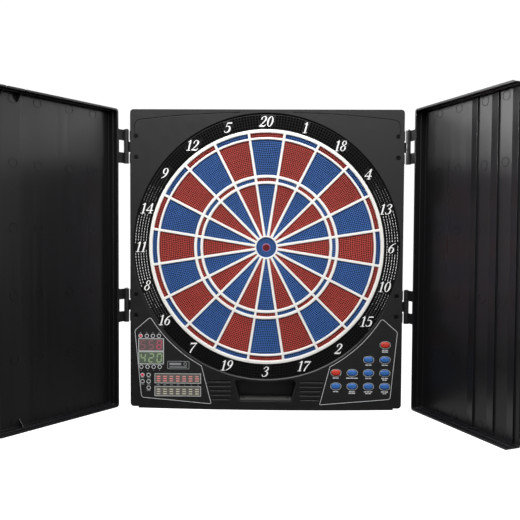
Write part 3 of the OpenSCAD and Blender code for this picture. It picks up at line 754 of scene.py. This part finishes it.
def spider():
    """The web in front of the beds: one plate with rounded edges around every opening."""
    s = Solid()
    profile = ((0.9, 0.0), (0.5, 0.1), (0.2, 0.34), (0.05, 0.66), (0.0, 1.0))
    skirt_y = spider_y + 10.6
    outer = [s.ring(circle(spider_r - d, 360), spider_y + y) for d, y in profile]
    outer.append(s.ring(circle(spider_r, 360), spider_back))
    foot = s.ring(circle(spider_r - 2.5, 360), spider_back)
    root = s.ring(circle(spider_r - 2.5, 360), skirt_y)
    s.lofts(outer + [foot, root])
    fronts, backs = [], []

    def opening(outline):
        rings = [s.ring(outline(d), spider_y + y) for d, y in profile]
        rings.append(s.ring(outline(0), skirt_y))
        s.lofts(rings)
        fronts.append(rings[0])
        backs.append(rings[-1])

    for i in range(len(NUMBERS)):
        for r_in, r_out in bands:
            count = 12 if r_out > 60 else 4
            opening(lambda d: turned(cell(bed_side - gap - d, r_in - gap - d, r_out + gap + d, count), STEP * i))
    bull_r = front_radii("outer_bull")[-1] + gap
    opening(lambda d: circle(bull_r + d, 90))
    s.cap([outer[0]] + fronts)
    s.cap([root] + backs)
    add("spider_web", s, [M["spider"]], "housing", ("spider",))


spider()


# ---- number ring -----------------------------------------------------------------------------------

ring_lo, ring_hi = box("number_ring")
ring_y = ring_lo[1]
ring_in, ring_out = front_radii("number_ring")[0], front_radii("number_ring")[-1]
RING_ROWS = 5
DIGIT_H = 18.2
NUMBER_R = 215.7

def loop(cx, cz, rx, rz, thin, thick):
    """An oval line, thick at its sides."""
    return [(cx + rx * math.sin(a), cz + rz * math.cos(a), thin + (thick - thin) * math.sin(a) ** 2)
            for a in (math.radians(45 * k) for k in range(9))]


def half_turned(width, lines):
    return width, [[(width - 0.01 - x, 1 - z, w) for x, z, w in line] for line in lines]


# Advance of each digit, and its lines as points with a pen width, in a box 1 high, before they are slanted
SIX = (0.56, [loop(0.275, 0.30, 0.175, 0.265, 0.055, 0.14),
              [(0.50, 0.955, 0.045), (0.33, 0.86, 0.07), (0.18, 0.68, 0.11), (0.105, 0.45, 0.14), (0.10, 0.30, 0.14)]])
GLYPHS = {
    "0": (0.58, [loop(0.28, 0.50, 0.19, 0.465, 0.05, 0.15)]),
    "1": (0.44, [[(0.23, 0.93, 0.14), (0.23, 0.50, 0.14), (0.23, 0.05, 0.14)],
                 [(0.06, 0.83, 0.04), (0.15, 0.88, 0.07), (0.23, 0.95, 0.09)], [(0.07, 0.03, 0.05), (0.39, 0.03, 0.05)]]),
    "2": (0.58, [[(0.10, 0.72, 0.10), (0.12, 0.86, 0.07), (0.26, 0.96, 0.06), (0.42, 0.88, 0.12), (0.45, 0.71, 0.15),
                  (0.37, 0.50, 0.11), (0.21, 0.27, 0.07), (0.06, 0.08, 0.05)],
                 [(0.07, 0.065, 0.11), (0.28, 0.07, 0.14), (0.45, 0.07, 0.11), (0.53, 0.22, 0.035)]]),
    "3": (0.54, [[(0.09, 0.80, 0.08), (0.16, 0.92, 0.06), (0.28, 0.96, 0.06), (0.41, 0.88, 0.12), (0.42, 0.73, 0.13),
                  (0.33, 0.60, 0.08), (0.20, 0.54, 0.045)],
                 [(0.20, 0.54, 0.045), (0.36, 0.50, 0.09), (0.46, 0.36, 0.14), (0.43, 0.17, 0.13), (0.28, 0.045, 0.06),
                  (0.13, 0.06, 0.07), (0.07, 0.17, 0.10)]]),
    "4": (0.60, [[(0.42, 0.95, 0.06), (0.23, 0.62, 0.05), (0.04, 0.31, 0.05)], [(0.04, 0.29, 0.085), (0.57, 0.29, 0.085)],
                 [(0.41, 0.92, 0.13), (0.41, 0.50, 0.13), (0.41, 0.05, 0.13)], [(0.27, 0.03, 0.045), (0.55, 0.03, 0.045)]]),
    "5": (0.56, [[(0.17, 0.92, 0.11), (0.49, 0.93, 0.11)], [(0.15, 0.92, 0.05), (0.12, 0.75, 0.045), (0.10, 0.58, 0.04)],
                 [(0.10, 0.57, 0.045), (0.26, 0.62, 0.08), (0.42, 0.52, 0.14), (0.46, 0.34, 0.16), (0.41, 0.15, 0.14),
                  (0.26, 0.045, 0.06), (0.12, 0.06, 0.07), (0.07, 0.15, 0.09)]]),
    "6": SIX,
    "7": (0.56, [[(0.08, 0.90, 0.13), (0.28, 0.90, 0.14), (0.52, 0.91, 0.12)], [(0.07, 0.92, 0.045), (0.06, 0.76, 0.035)],
                 [(0.51, 0.90, 0.06), (0.38, 0.62, 0.07), (0.25, 0.32, 0.11), (0.19, 0.05, 0.13)]]),
    "8": (0.54, [loop(0.28, 0.76, 0.145, 0.195, 0.05, 0.105), loop(0.27, 0.275, 0.175, 0.24, 0.05, 0.125)]),
    "9": half_turned(*SIX),
}
SLANT = 0.27
WIDEN = 1.12
SMOOTH = 5


def smooth_line(line):
    """A curve through a line's points, with their widths."""
    if len(line) < 3:
        return line
    out = []
    ends = [line[0]] + list(line) + [line[-1]]
    if line[0][:2] == line[-1][:2]:
        ends[0], ends[-1] = line[-2], line[1]
    for k in range(len(line) - 1):
        a, b, c, d = ends[k:k + 4]
        for j in range(SMOOTH):
            t = j / SMOOTH
            out.append(tuple(0.5 * (2 * b[m] + (c[m] - a[m]) * t + (2 * a[m] - 5 * b[m] + 4 * c[m] - d[m]) * t * t
                                    + (3 * b[m] - a[m] - 3 * c[m] + d[m]) * t ** 3) for m in range(3)))
    return out + [line[-1]]


def pen(line, place):
    """Outlines that together cover a line drawn with a pen of changing width."""
    shapes = []
    line = [(*place(x, z), w * DIGIT_H / 2) for x, z, w in smooth_line(line)]
    for x, z, w in line:
        shapes.append(circle(w, 10, x, z))
    for (x0, z0, w0), (x1, z1, w1) in zip(line, line[1:]):
        d = Vector((x1 - x0, z1 - z0))
        if d.length < 0.01:
            continue
        n = Vector((-d.y, d.x)).normalized()
        shapes.append([(x0 + n.x * w0, z0 + n.y * w0), (x1 + n.x * w1, z1 + n.y * w1),
                       (x1 - n.x * w1, z1 - n.y * w1), (x0 - n.x * w0, z0 - n.y * w0)])
    return shapes


def number_width(text):
    return sum(GLYPHS[c][0] for c in text) * WIDEN * DIGIT_H


def numerals():
    s = Solid()
    for i, number in enumerate(NUMBERS):
        text = str(number)
        cx = NUMBER_R * math.sin(math.radians(STEP * i))
        cz = NUMBER_R * math.cos(math.radians(STEP * i))
        left = cx - number_width(text) / 2 - SLANT * DIGIT_H / 2
        for c in text:
            width, lines = GLYPHS[c]

            def place(x, z):
                return left + (x * WIDEN + SLANT * z) * DIGIT_H, cz + (z - 0.5) * DIGIT_H

            s.blocks_of([shape for line in lines for shape in pen(line, place)], ring_y - 0.35, ring_y + 0.4)
            left += width * WIDEN * DIGIT_H
    add("ring_numbers", s, [M["numeral"]], "housing")


def on_number(x, z):
    """True where a number leaves no room for the ring's holes."""
    for i, number in enumerate(NUMBERS):
        cx = NUMBER_R * math.sin(math.radians(STEP * i))
        cz = NUMBER_R * math.cos(math.radians(STEP * i))
        if abs(x - cx - SLANT * (z - cz)) < number_width(str(number)) / 2 + 1.6 and abs(z - cz) < DIGIT_H / 2 + 1.0:
            return True
    return False


def number_ring():
    s = Solid()
    count = 280
    back = ring_hi[1]
    floor_y = ring_y + 2.0
    outer = [s.ring(circle(ring_out + d, count), y) for d, y in
             ((-0.8, ring_y), (-0.2, ring_y + 0.25), (0, ring_y + 0.9), (0, back))]
    inner = [s.ring(circle(ring_in + d, count), y) for d, y in
             ((0.5, ring_y), (0.1, ring_y + 0.2), (0, ring_y + 0.6), (0, back))]
    under = [s.ring(circle(ring_out - 1.5, count), back), s.ring(circle(ring_out - 1.5, count), ring_y + 2.4)]
    inside = [s.ring(circle(ring_in + 1.5, count), back), s.ring(circle(ring_in + 1.5, count), ring_y + 2.4)]
    s.lofts(outer + under)
    s.lofts(inner + inside)
    s.loft(under[-1], inside[-1])
    pitch = (ring_out - ring_in - 1.6) / RING_ROWS
    mouths = []
    for row in range(RING_ROWS):
        r = ring_in + 1.0 + pitch * (row + 0.5)
        for k in range(count):
            a = 360 * (k + 0.5) / count
            x, z = r * math.sin(math.radians(a)), r * math.cos(math.radians(a))
            if on_number(x, z):
                continue
            # the wall away from the bull slopes; at the sides of the ring it is painted light grey, a painted
            # highlight that shows as a bright dash, and the other walls and the floor are painted near-black, as shade
            top = s.ring(square(x, z, 1.85, a, 1.65), ring_y)
            neck_x, neck_z = x - 0.35 * math.sin(math.radians(a)), z - 0.35 * math.cos(math.radians(a))
            neck = s.ring(square(neck_x, neck_z, 1.3, a, 1.45), ring_y + 0.7)
            end = s.ring(square(neck_x, neck_z, 1.25, a, 1.4), floor_y)
            # the painted highlight is strongest at the ring's left and right, weaker towards its top and bottom, and
            # none there
            level = abs(math.cos(math.radians(a))) + random.uniform(-0.05, 0.05)
            painted_glint = 1 if level < 0.30 else 2 if level < 0.46 else 3 if level < 0.60 else 4
            for j in range(4):
                n = (j + 1) % 4
                s.face((top[j], top[n], neck[n], neck[j]), painted_glint if j == 2 else 4)
            s.loft(neck, end, 4)
            s.face(end, 4)
            mouths.append(top)
    s.cap([outer[0], inner[0]] + mouths)
    add("number_ring_net", s, [M[m] for m in ("ring", "painted_glint", "painted_glint_mid", "painted_glint_low", "hole")], "housing",
        ("number_ring",))


number_ring()
numerals()


# ---- panels ------------------------------------------------------------------------------------------

film_lo, film_hi = box("panel_overlays")
film_y = film_lo[1]
PRINT = 0.06


def printed(s, outline, tint=0):
    s.block(outline, film_y - PRINT, film_y + 0.1, tint)


def printed_line(s, outline, inner, outer, tint=0):
    s.band(grown(outline, outer), grown(outline, inner), film_y - PRINT, film_y + 0.1, tint)


def clean_loop(loop, near=0.25):
    """An outline without points that lie almost on top of each other."""
    out = []
    for p in loop:
        if not out or math.dist(out[-1], p) > near:
            out.append(p)
    if math.dist(out[0], out[-1]) < near:
        out.pop()
    return out


outlines = [clean_loop(loop) for loop in front_loops("panel_overlays")[:2]]
left_panel, right_panel = sorted(outlines, key=lambda loop: sum(p[0] for p in loop))
red_x0, red_z0, red_x1, red_z1 = front_box("red_score_display")
green_x0, green_z0, green_x1, green_z1 = front_box("green_score_display")
cricket = sorted(front_loops("cricket_displays")[:2], key=lambda loop: -loop[0][1])
lamps = sorted((sum(p[0] for p in loop) / len(loop), sum(p[1] for p in loop) / len(loop))
               for loop in front_loops("indicator_leds"))


def left_print():
    s = Solid()
    printed_line(s, left_panel, -1.15, -0.2)
    for x, z in lamps:
        s.band(circle(3.7, 24, x, z), circle(2.5, 24, x, z), film_y - PRINT, film_y + 0.1)
    for x, z in lamps:
        upper = z > red_z1
        lower = green_z0 - 9 < z < green_z0
        if upper:
            printed(s, rect(x - 0.9, z + 5.4, x + 0.9, z + 6.4), 1)
        elif lower:
            printed(s, rect(x - 0.9, z - 6.6, x + 0.9, z - 5.6), 1)
        else:
            printed(s, rect(x - 3.1, z - 5.6, x + 3.1, z - 4.7), 1)
    # plain box beside the lamps, with two plain bars
    plate = rect(-170.5, -212.2, -132.5, -198.2, 1.2)
    printed_line(s, plate, -0.9, 0.0, 1)
    printed(s, rect(-167, -205.4, -146.5, -201.2, 0.6), 1)
    printed(s, rect(-167, -209.6, -136.5, -207.6, 0.4), 1)
    s.band(circle(3.1, 24, -139.5, -203.2), circle(1.9, 24, -139.5, -203.2), film_y - PRINT, film_y + 0.1, 1)
    # plain dashes between the two cricket displays
    x0, x1 = min(p[0] for p in cricket[0]), max(p[0] for p in cricket[0])
    top = min(p[1] for p in cricket[0])
    for k in range(7):
        x = x0 + (x1 - x0) * (k + 0.55) / 7
        printed(s, rect(x - (2.3 if k < 4 else 0.9), top - 3.4, x + (2.3 if k < 4 else 0.9), top - 1.9), 1)
    add("left_panel_print", s, [M["print"], M["print_dim"]], "housing")


def key_boxes():
    return {n: front_box(n) for n in frame["nodes"] if n.endswith("_button")}


LONG_LABELS = {"start_button": (11, 11), "level_button": (12.5, 8), "score_button": (11, 12), "double_button": (15.5, 10),
               "bounce_button": (12.5, 7), "handicap_button": (9.5,), "game_button": (21,)}


def right_print():
    s = Solid()
    printed_line(s, right_panel, -1.15, -0.2)
    for node, (x0, z0, x1, z1) in key_boxes().items():
        x, z, h = (x0 + x1) / 2, (z0 + z1) / 2, z1 - z0
        outline = oval(x, z, x1 - x0, h)
        printed_line(s, outline, 0.9, 1.55)
        for k, length in enumerate(LONG_LABELS.get(node, (11,))):
            top = z0 - 3.3 - 2.9 * k
            words = 3 if length > 14 else 2
            for w in range(words):
                a = x - length / 2 + length * w / words
                printed(s, rect(a, top - 1.9, a + length / words - 0.7, top))
    add("right_panel_print", s, [M["print"], M["print_dim"]], "housing")


OVAL_POWER = 2.4


def oval(x, z, length, height, count=44):
    """A shape between an ellipse and a rectangle, as the keys' openings are."""
    points = []
    for k in range(count):
        a = 2 * math.pi * (k + 0.5) / count
        c, d = math.cos(a), math.sin(a)
        points.append((x + length / 2 * math.copysign(abs(d) ** (2 / OVAL_POWER), d),
                       z + height / 2 * math.copysign(abs(c) ** (2 / OVAL_POWER), c)))
    return points


left_print()
right_print()


# Bars of a seven-segment digit: top, upper right, lower right, bottom, lower left, upper left, middle
LIT = {"0": "abcdef", "2": "abged", "4": "fgbc", "5": "afgcd", "8": "abcdefg"}


def segments(x, z, w, h, t):
    """Outlines of the seven bars of one digit, leaning a little to the right."""
    def bar(x0, z0, x1, z1):
        d = Vector((x1 - x0, z1 - z0)).normalized()
        n = Vector((-d.y, d.x)) * t / 2
        a, b = Vector((x0, z0)) + d * 0.25, Vector((x1, z1)) - d * 0.25
        points = [a, a + d * t / 2 + n, b - d * t / 2 + n, b, b - d * t / 2 - n, a + d * t / 2 - n]
        return [(x + p.x + 0.10 * p.y, z + p.y) for p in points]

    c, m = w / 2, h / 2
    return {
        "a": bar(-c, m, c, m), "b": bar(c, m, c, 0), "c": bar(c, 0, c, -m), "d": bar(-c, -m, c, -m),
        "e": bar(-c, 0, -c, -m), "f": bar(-c, m, -c, 0), "g": bar(-c, 0, c, 0),
    }


def framed_block(s, outline, y0, y1, rim_tint, rim):
    """A display: clear front inside a raised rim."""
    inner = grown(outline, -rim)
    rings = [s.ring(inner, y0 + 0.15), s.ring(inner, y0), s.ring(outline, y0), s.ring(outline, y1)]
    s.cap(rings[:1])
    s.lofts(rings[:3], rim_tint)
    s.loft(rings[2], rings[3])
    s.cap(rings[-1:])


def score_display(node, text, materials, bright):
    x0, z0, x1, z1 = front_box(node)
    lo, hi = box(node)
    s = Solid()
    framed_block(s, rect(x0, z0, x1, z1), lo[1], hi[1], 4, 1.3)
    pitch = (x1 - x0 - 2) / 3
    for k, c in enumerate(text):
        x = x0 + 1 + pitch * (k + 0.5)
        for name, outline in segments(x, (z0 + z1) / 2, 7.4, 14.2, 2.2).items():
            lit = name in LIT[c]
            tint = 3 if not lit else (2 if k in bright else 1)
            s.block(outline, lo[1] + 0.09, lo[1] + 0.25, tint)
    add(node + "_face", s, [M[m] for m in materials], "housing",
        (node,))


score_display("red_score_display", "558", ("red_glass", "red_dim", "red_lit", "off_segment", "display_rim"), (2,))
score_display("green_score_display", "420", ("green_glass", "green_lit", "green_lit", "off_green", "display_rim"), (0, 1, 2))


def cricket_displays():
    lo, hi = box("cricket_displays")
    s = Solid()
    for row, loop in enumerate(cricket):
        xs, zs = [p[0] for p in loop], [p[1] for p in loop]
        x0, z0, x1, z1 = min(xs), min(zs), max(xs), max(zs)
        framed_block(s, rect(x0, z0, x1, z1), lo[1], hi[1], 5, 1.1)
        for k in range(7):
            x = x0 + 7.0 + 11.15 * k
            for j in range(3):
                z = (z0 + z1) / 2 + 3.9 * (j - 1) - 0.6
                tint = (1 if k < 2 or (k + j) % 2 else 2) if row == 0 else 3
                s.block(rect(x - 3.1, z - 0.95, x + 3.1, z + 0.95, 0.3, 2), lo[1] + 0.09, lo[1] + 0.25, tint)
            s.block(rect(x - 2.6, z1 - 2.5, x + 2.6, z1 - 1.9), lo[1] + 0.09, lo[1] + 0.25, 4)
    tints = ("grey_glass", "pink_bar", "pink_dim", "pale_bar", "off_green", "display_rim")
    add("cricket_faces", s, [M[m] for m in tints], "housing",
        ("cricket_displays",))


cricket_displays()


def lamp_domes():
    lo, hi = box("indicator_leds")
    s = Solid()
    first_upper = min((p for p in lamps if p[1] > red_z1), key=lambda p: p[0])
    block = [p for p in lamps if p[1] < green_z0 - 9]
    first_block = min(block, key=lambda p: (round(-p[1]), p[0]))
    for x, z in lamps:
        tint = 1 if (x, z) in (first_upper, first_block) else 0
        rings = [s.ring(circle(r, 20, x, z), lo[1] + d) for r, d in
                 ((0.35, 0.0), (0.9, 0.12), (1.3, 0.42), (1.48, 0.9))]
        rings.append(s.ring(circle(1.48, 20, x, z), hi[1]))
        s.cap(rings[:1], tint)
        s.lofts(rings, tint)
        s.cap(rings[-1:], tint)
        if tint:  # the glow of a lit lamp on the lens ring around it
            s.band(circle(2.45, 24, x, z), circle(1.75, 24, x, z), film_y - PRINT, film_y + 0.1, 1)
    add("lamp_domes", s, [M["lamp_off"], M["lamp_on"]], "housing", ("indicator_leds",))


lamp_domes()


def keys():
    for node, (x0, z0, x1, z1) in key_boxes().items():
        lo, hi = box(node)
        x, z, length, height = (x0 + x1) / 2, (z0 + z1) / 2, x1 - x0, z1 - z0
        s = Solid()
        flange = (hi[0] - lo[0] - length) / 2
        profile = [(-3.9, 0.0), (-2.6, 0.05), (-1.5, 0.18), (-0.7, 0.45), (-0.2, 0.85), (0.0, 1.35)]
        rings = [s.ring(oval(x, z, length + 2 * d, height + 2 * d), lo[1] + y) for d, y in profile]
        back = hi[1]
        rings.append(s.ring(oval(x, z, length, height), back - 1.0))
        rings.append(s.ring(oval(x, z, length + 2 * flange, height + 2 * flange), back - 1.0))
        rings.append(s.ring(oval(x, z, length + 2 * flange, height + 2 * flange), back))
        s.cap(rings[:1])
        s.lofts(rings)
        s.cap(rings[-1:])
        red = node in ("start_button", "select_button")
        add(node + "_cap", s, [M["red_key" if red else "blue_key"]], node,
            (node,))


keys()


def tray_pad():
    """A strip of foam on the tray's floor, with two screw heads at each end."""
    lo, hi = box("dart_tray")
    front_z = front_box("dart_tray")[1]
    floor_z = front_z + 1.6
    half = 44.4
    s = Solid()
    y0, y1 = lo[1] + 3, hi[1] - 2.2
    rings = []
    for inset, z in ((0, floor_z - 0.2), (0, floor_z + 0.7), (0.4, floor_z + 1.0)):
        start = len(s.points)
        s.points += [(x, y, z) for x, y in rect(inset - half, y0 + inset, half - inset, y1 - inset, 3 - inset)]
        rings.append(list(range(start, len(s.points))))
    s.lofts(rings)
    s.face(rings[0])
    s.face(rings[-1])
    for side in (1, -1):
        for y in (y0 + 9, y0 + 21):
            levels = []
            for r, z in ((2.0, floor_z + 0.9), (2.0, floor_z + 1.3), (1.4, floor_z + 1.6)):
                start = len(s.points)
                s.points += [(side * (half - 5) + px, y + py, z) for px, py in circle(r, 16)]
                levels.append(list(range(start, len(s.points))))
            s.lofts(levels, 1)
            s.face(levels[0], 1)
            s.face(levels[-1], 1)
    add("tray_pad", s, [M["tray_pad"], M["dark_steel"]], "housing")


def ejector_marks(door):
    """Faint raised circles that the mould's pins left on the inside of a door."""
    mesh = frame["nodes"][door].data
    planes = {}
    for face in mesh.polygons:
        n = face.normal
        if abs(n.z) < 0.01 and n.y < -0.2:
            d = face.center.dot(n) / MM
            key = (round(n.x, 2), round(n.y, 2), round(d, 1))
            planes[key] = planes.get(key, 0.0) + face.area
    nx, ny, d = max(planes, key=planes.get)
    normal = Vector((nx, ny, 0)).normalized()
    along = Vector((-ny, nx, 0)) if nx < 0 else Vector((ny, -nx, 0))
    points = [v.co / MM for v in mesh.vertices]
    start = min(p.dot(along) for p in points)
    width = max(p.dot(along) for p in points) - start
    top, bottom = max(p.z for p in points), min(p.z for p in points)
    s = Solid()
    for across in (0.18, 0.39, 0.65, 0.84):
        for level in (0.975, 0.79, 0.6, 0.4, 0.21, 0.025):
            z = bottom + (top - bottom) * level
            rings = []
            for r, rise in ((7.0, -0.1), (7.0, 0.09), (6.5, 0.09), (6.5, -0.1)):
                first = len(s.points)
                for px, pz in circle(r, 28):
                    p = normal * (d + rise) + along * (start + width * across + px) + Vector((0, 0, z + pz))
                    s.points.append(tuple(p))
                rings.append(list(range(first, len(s.points))))
            s.lofts(rings + rings[:1])
    add(door + "_pin_marks", s, [M["door"]], door)


tray_pad()
ejector_marks("left_door")
ejector_marks("right_door")


# ---- floor, light and camera ---------------------------------------------------------------------------

FLOOR_Z = -1.3


def floor():
    mesh = bpy.data.meshes.new("floor")
    mesh.from_pydata([(-9, -9, FLOOR_Z), (9, -9, FLOOR_Z), (9, 9, FLOOR_Z), (-9, 9, FLOOR_Z)], [], [(0, 1, 2, 3)])
    piece = bpy.data.objects.new("floor", mesh)
    bpy.context.scene.collection.objects.link(piece)
    n = Nodes("floor_paint")
    n.set("Base Color", n.mix(n.ramp(n.noise(1.5), 0.0, 1.0), (0.93, 0.93, 0.93, 1.0), (0.96, 0.96, 0.96, 1.0)))
    n.set("Roughness", 0.9)
    n.set("Emission Color", (1.0, 1.0, 1.0, 1.0))
    n.set("Emission Strength", 0.6)
    mesh.materials.append(n.material)
    piece.visible_glossy = False  # the floor neither shines in black plastic nor lights the object from below
    piece.visible_diffuse = False


def area_light(name, place, target, size, power):
    data = bpy.data.lights.new(name, "AREA")
    data.shape = "RECTANGLE"
    data.size, data.size_y = size
    data.energy = power
    lamp = bpy.data.objects.new(name, data)
    lamp.location = place
    lamp.rotation_euler = (Vector(target) - Vector(place)).to_track_quat("-Z", "Y").to_euler()
    bpy.context.scene.collection.objects.link(lamp)
    return lamp


def world():
    """White behind and beside the object. Behind the camera it is light above and dark below."""
    w = bpy.data.worlds.new("studio")
    bpy.context.scene.world = w
    w.use_nodes = True
    tree = w.node_tree

    def new(kind, **values):
        node = tree.nodes.new(kind)
        for name, value in values.items():
            node.inputs[name].default_value = value
        return node

    place = new("ShaderNodeTexCoord")
    split = new("ShaderNodeSeparateXYZ")
    tilt = new("ShaderNodeMath")
    tilt.operation = "MULTIPLY_ADD"
    tilt.inputs[1].default_value = 0.18
    height = new("ShaderNodeMapRange", **{"From Min": -0.10, "From Max": 0.24, "To Min": 0.02, "To Max": 1.25})
    fade = new("ShaderNodeMapRange", **{"From Min": 0.24, "From Max": 0.45, "To Min": 1.0, "To Max": 0.4})
    front = new("ShaderNodeMath")
    front.operation = "MULTIPLY"
    right = new("ShaderNodeMapRange", **{"From Min": -0.10, "From Max": 0.0, "To Min": 0.12, "To Max": 1.0})
    beside = new("ShaderNodeMapRange", **{"From Min": 0.55, "From Max": 0.80, "To Min": 0.0, "To Max": 1.0})
    side = new("ShaderNodeMix")
    behind = new("ShaderNodeMapRange", **{"From Min": 0.10, "From Max": 0.50, "To Min": 0.0, "To Max": 1.0})
    mix = new("ShaderNodeMix")
    mix.inputs["B"].default_value = 0.6
    tree.nodes["Background"].inputs["Color"].default_value = (1.0, 1.0, 1.0, 1.0)
    tree.links.new(place.outputs["Generated"], split.inputs[0])
    tree.links.new(split.outputs["X"], tilt.inputs[0])
    tree.links.new(split.outputs["Z"], tilt.inputs[2])
    tree.links.new(tilt.outputs["Value"], height.inputs["Value"])
    tree.links.new(split.outputs["Y"], behind.inputs["Value"])
    tree.links.new(behind.outputs["Result"], mix.inputs["Factor"])
    tree.links.new(split.outputs["Z"], fade.inputs["Value"])
    tree.links.new(height.outputs["Result"], front.inputs[0])
    tree.links.new(fade.outputs["Result"], front.inputs[1])
    tree.links.new(split.outputs["Z"], right.inputs["Value"])
    tree.links.new(split.outputs["X"], beside.inputs["Value"])
    tree.links.new(beside.outputs["Result"], side.inputs["Factor"])
    tree.links.new(front.outputs["Value"], side.inputs["A"])
    tree.links.new(right.outputs["Result"], side.inputs["B"])
    tree.links.new(side.outputs["Result"], mix.inputs["A"])
    seen = new("ShaderNodeMix")
    seen.inputs["B"].default_value = 1.03
    tree.links.new(tree.nodes.new("ShaderNodeLightPath").outputs["Is Camera Ray"], seen.inputs["Factor"])
    tree.links.new(mix.outputs["Result"], seen.inputs["A"])
    tree.links.new(seen.outputs["Result"], tree.nodes["Background"].inputs["Strength"])


def camera():
    data = bpy.data.cameras.new("camera")
    data.sensor_width = 36.0
    data.lens = 44.21
    cam = bpy.data.objects.new("camera", data)
    bpy.context.scene.collection.objects.link(cam)
    pitch, yaw, roll = math.radians(2.145), math.radians(-0.938), math.radians(0.32)
    ahead = Vector((math.sin(yaw) * math.cos(pitch), math.cos(yaw) * math.cos(pitch), -math.sin(pitch)))
    right = Vector((math.cos(yaw), -math.sin(yaw), 0.0))
    up = right.cross(ahead)
    x = right * math.cos(roll) + up * math.sin(roll)
    y = up * math.cos(roll) - right * math.sin(roll)
    turn = Matrix((x, y, -ahead)).transposed().to_4x4()
    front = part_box("front_bezel")[0].y
    cam.matrix_world = Matrix.Translation((0.0074, front - 1.1, 0.0196)) @ turn
    bpy.context.scene.camera = cam


floor()
world()
area_light("softbox_above", (-0.2, -0.9, 1.3), (0.0, -0.05, 0.05), (1.6, 0.8), 38.0)
area_light("softbox_left", (-2.4, -0.12, 0.60), (0.0, -0.1, 0.1), (0.8, 0.13), 72.0)
area_light("softbox_right", (2.4, 0.05, 0.60), (0.0, -0.1, 0.1), (0.8, 0.13), 2.0)
area_light("softbox_behind", (0.4, 2.2, 1.1), (0.0, 0.0, 0.0), (2.6, 1.6), 90.0)
area_light("softbox_far_right", (2.6, 0.9, 0.3), (0.0, 0.0, 0.0), (0.8, 1.4), 16.0)
area_light("softbox_far_left", (-2.6, 0.9, 0.3), (0.0, 0.0, 0.0), (0.8, 1.4), 16.0)
camera()
bpy.context.scene.view_settings.view_transform = "Standard"
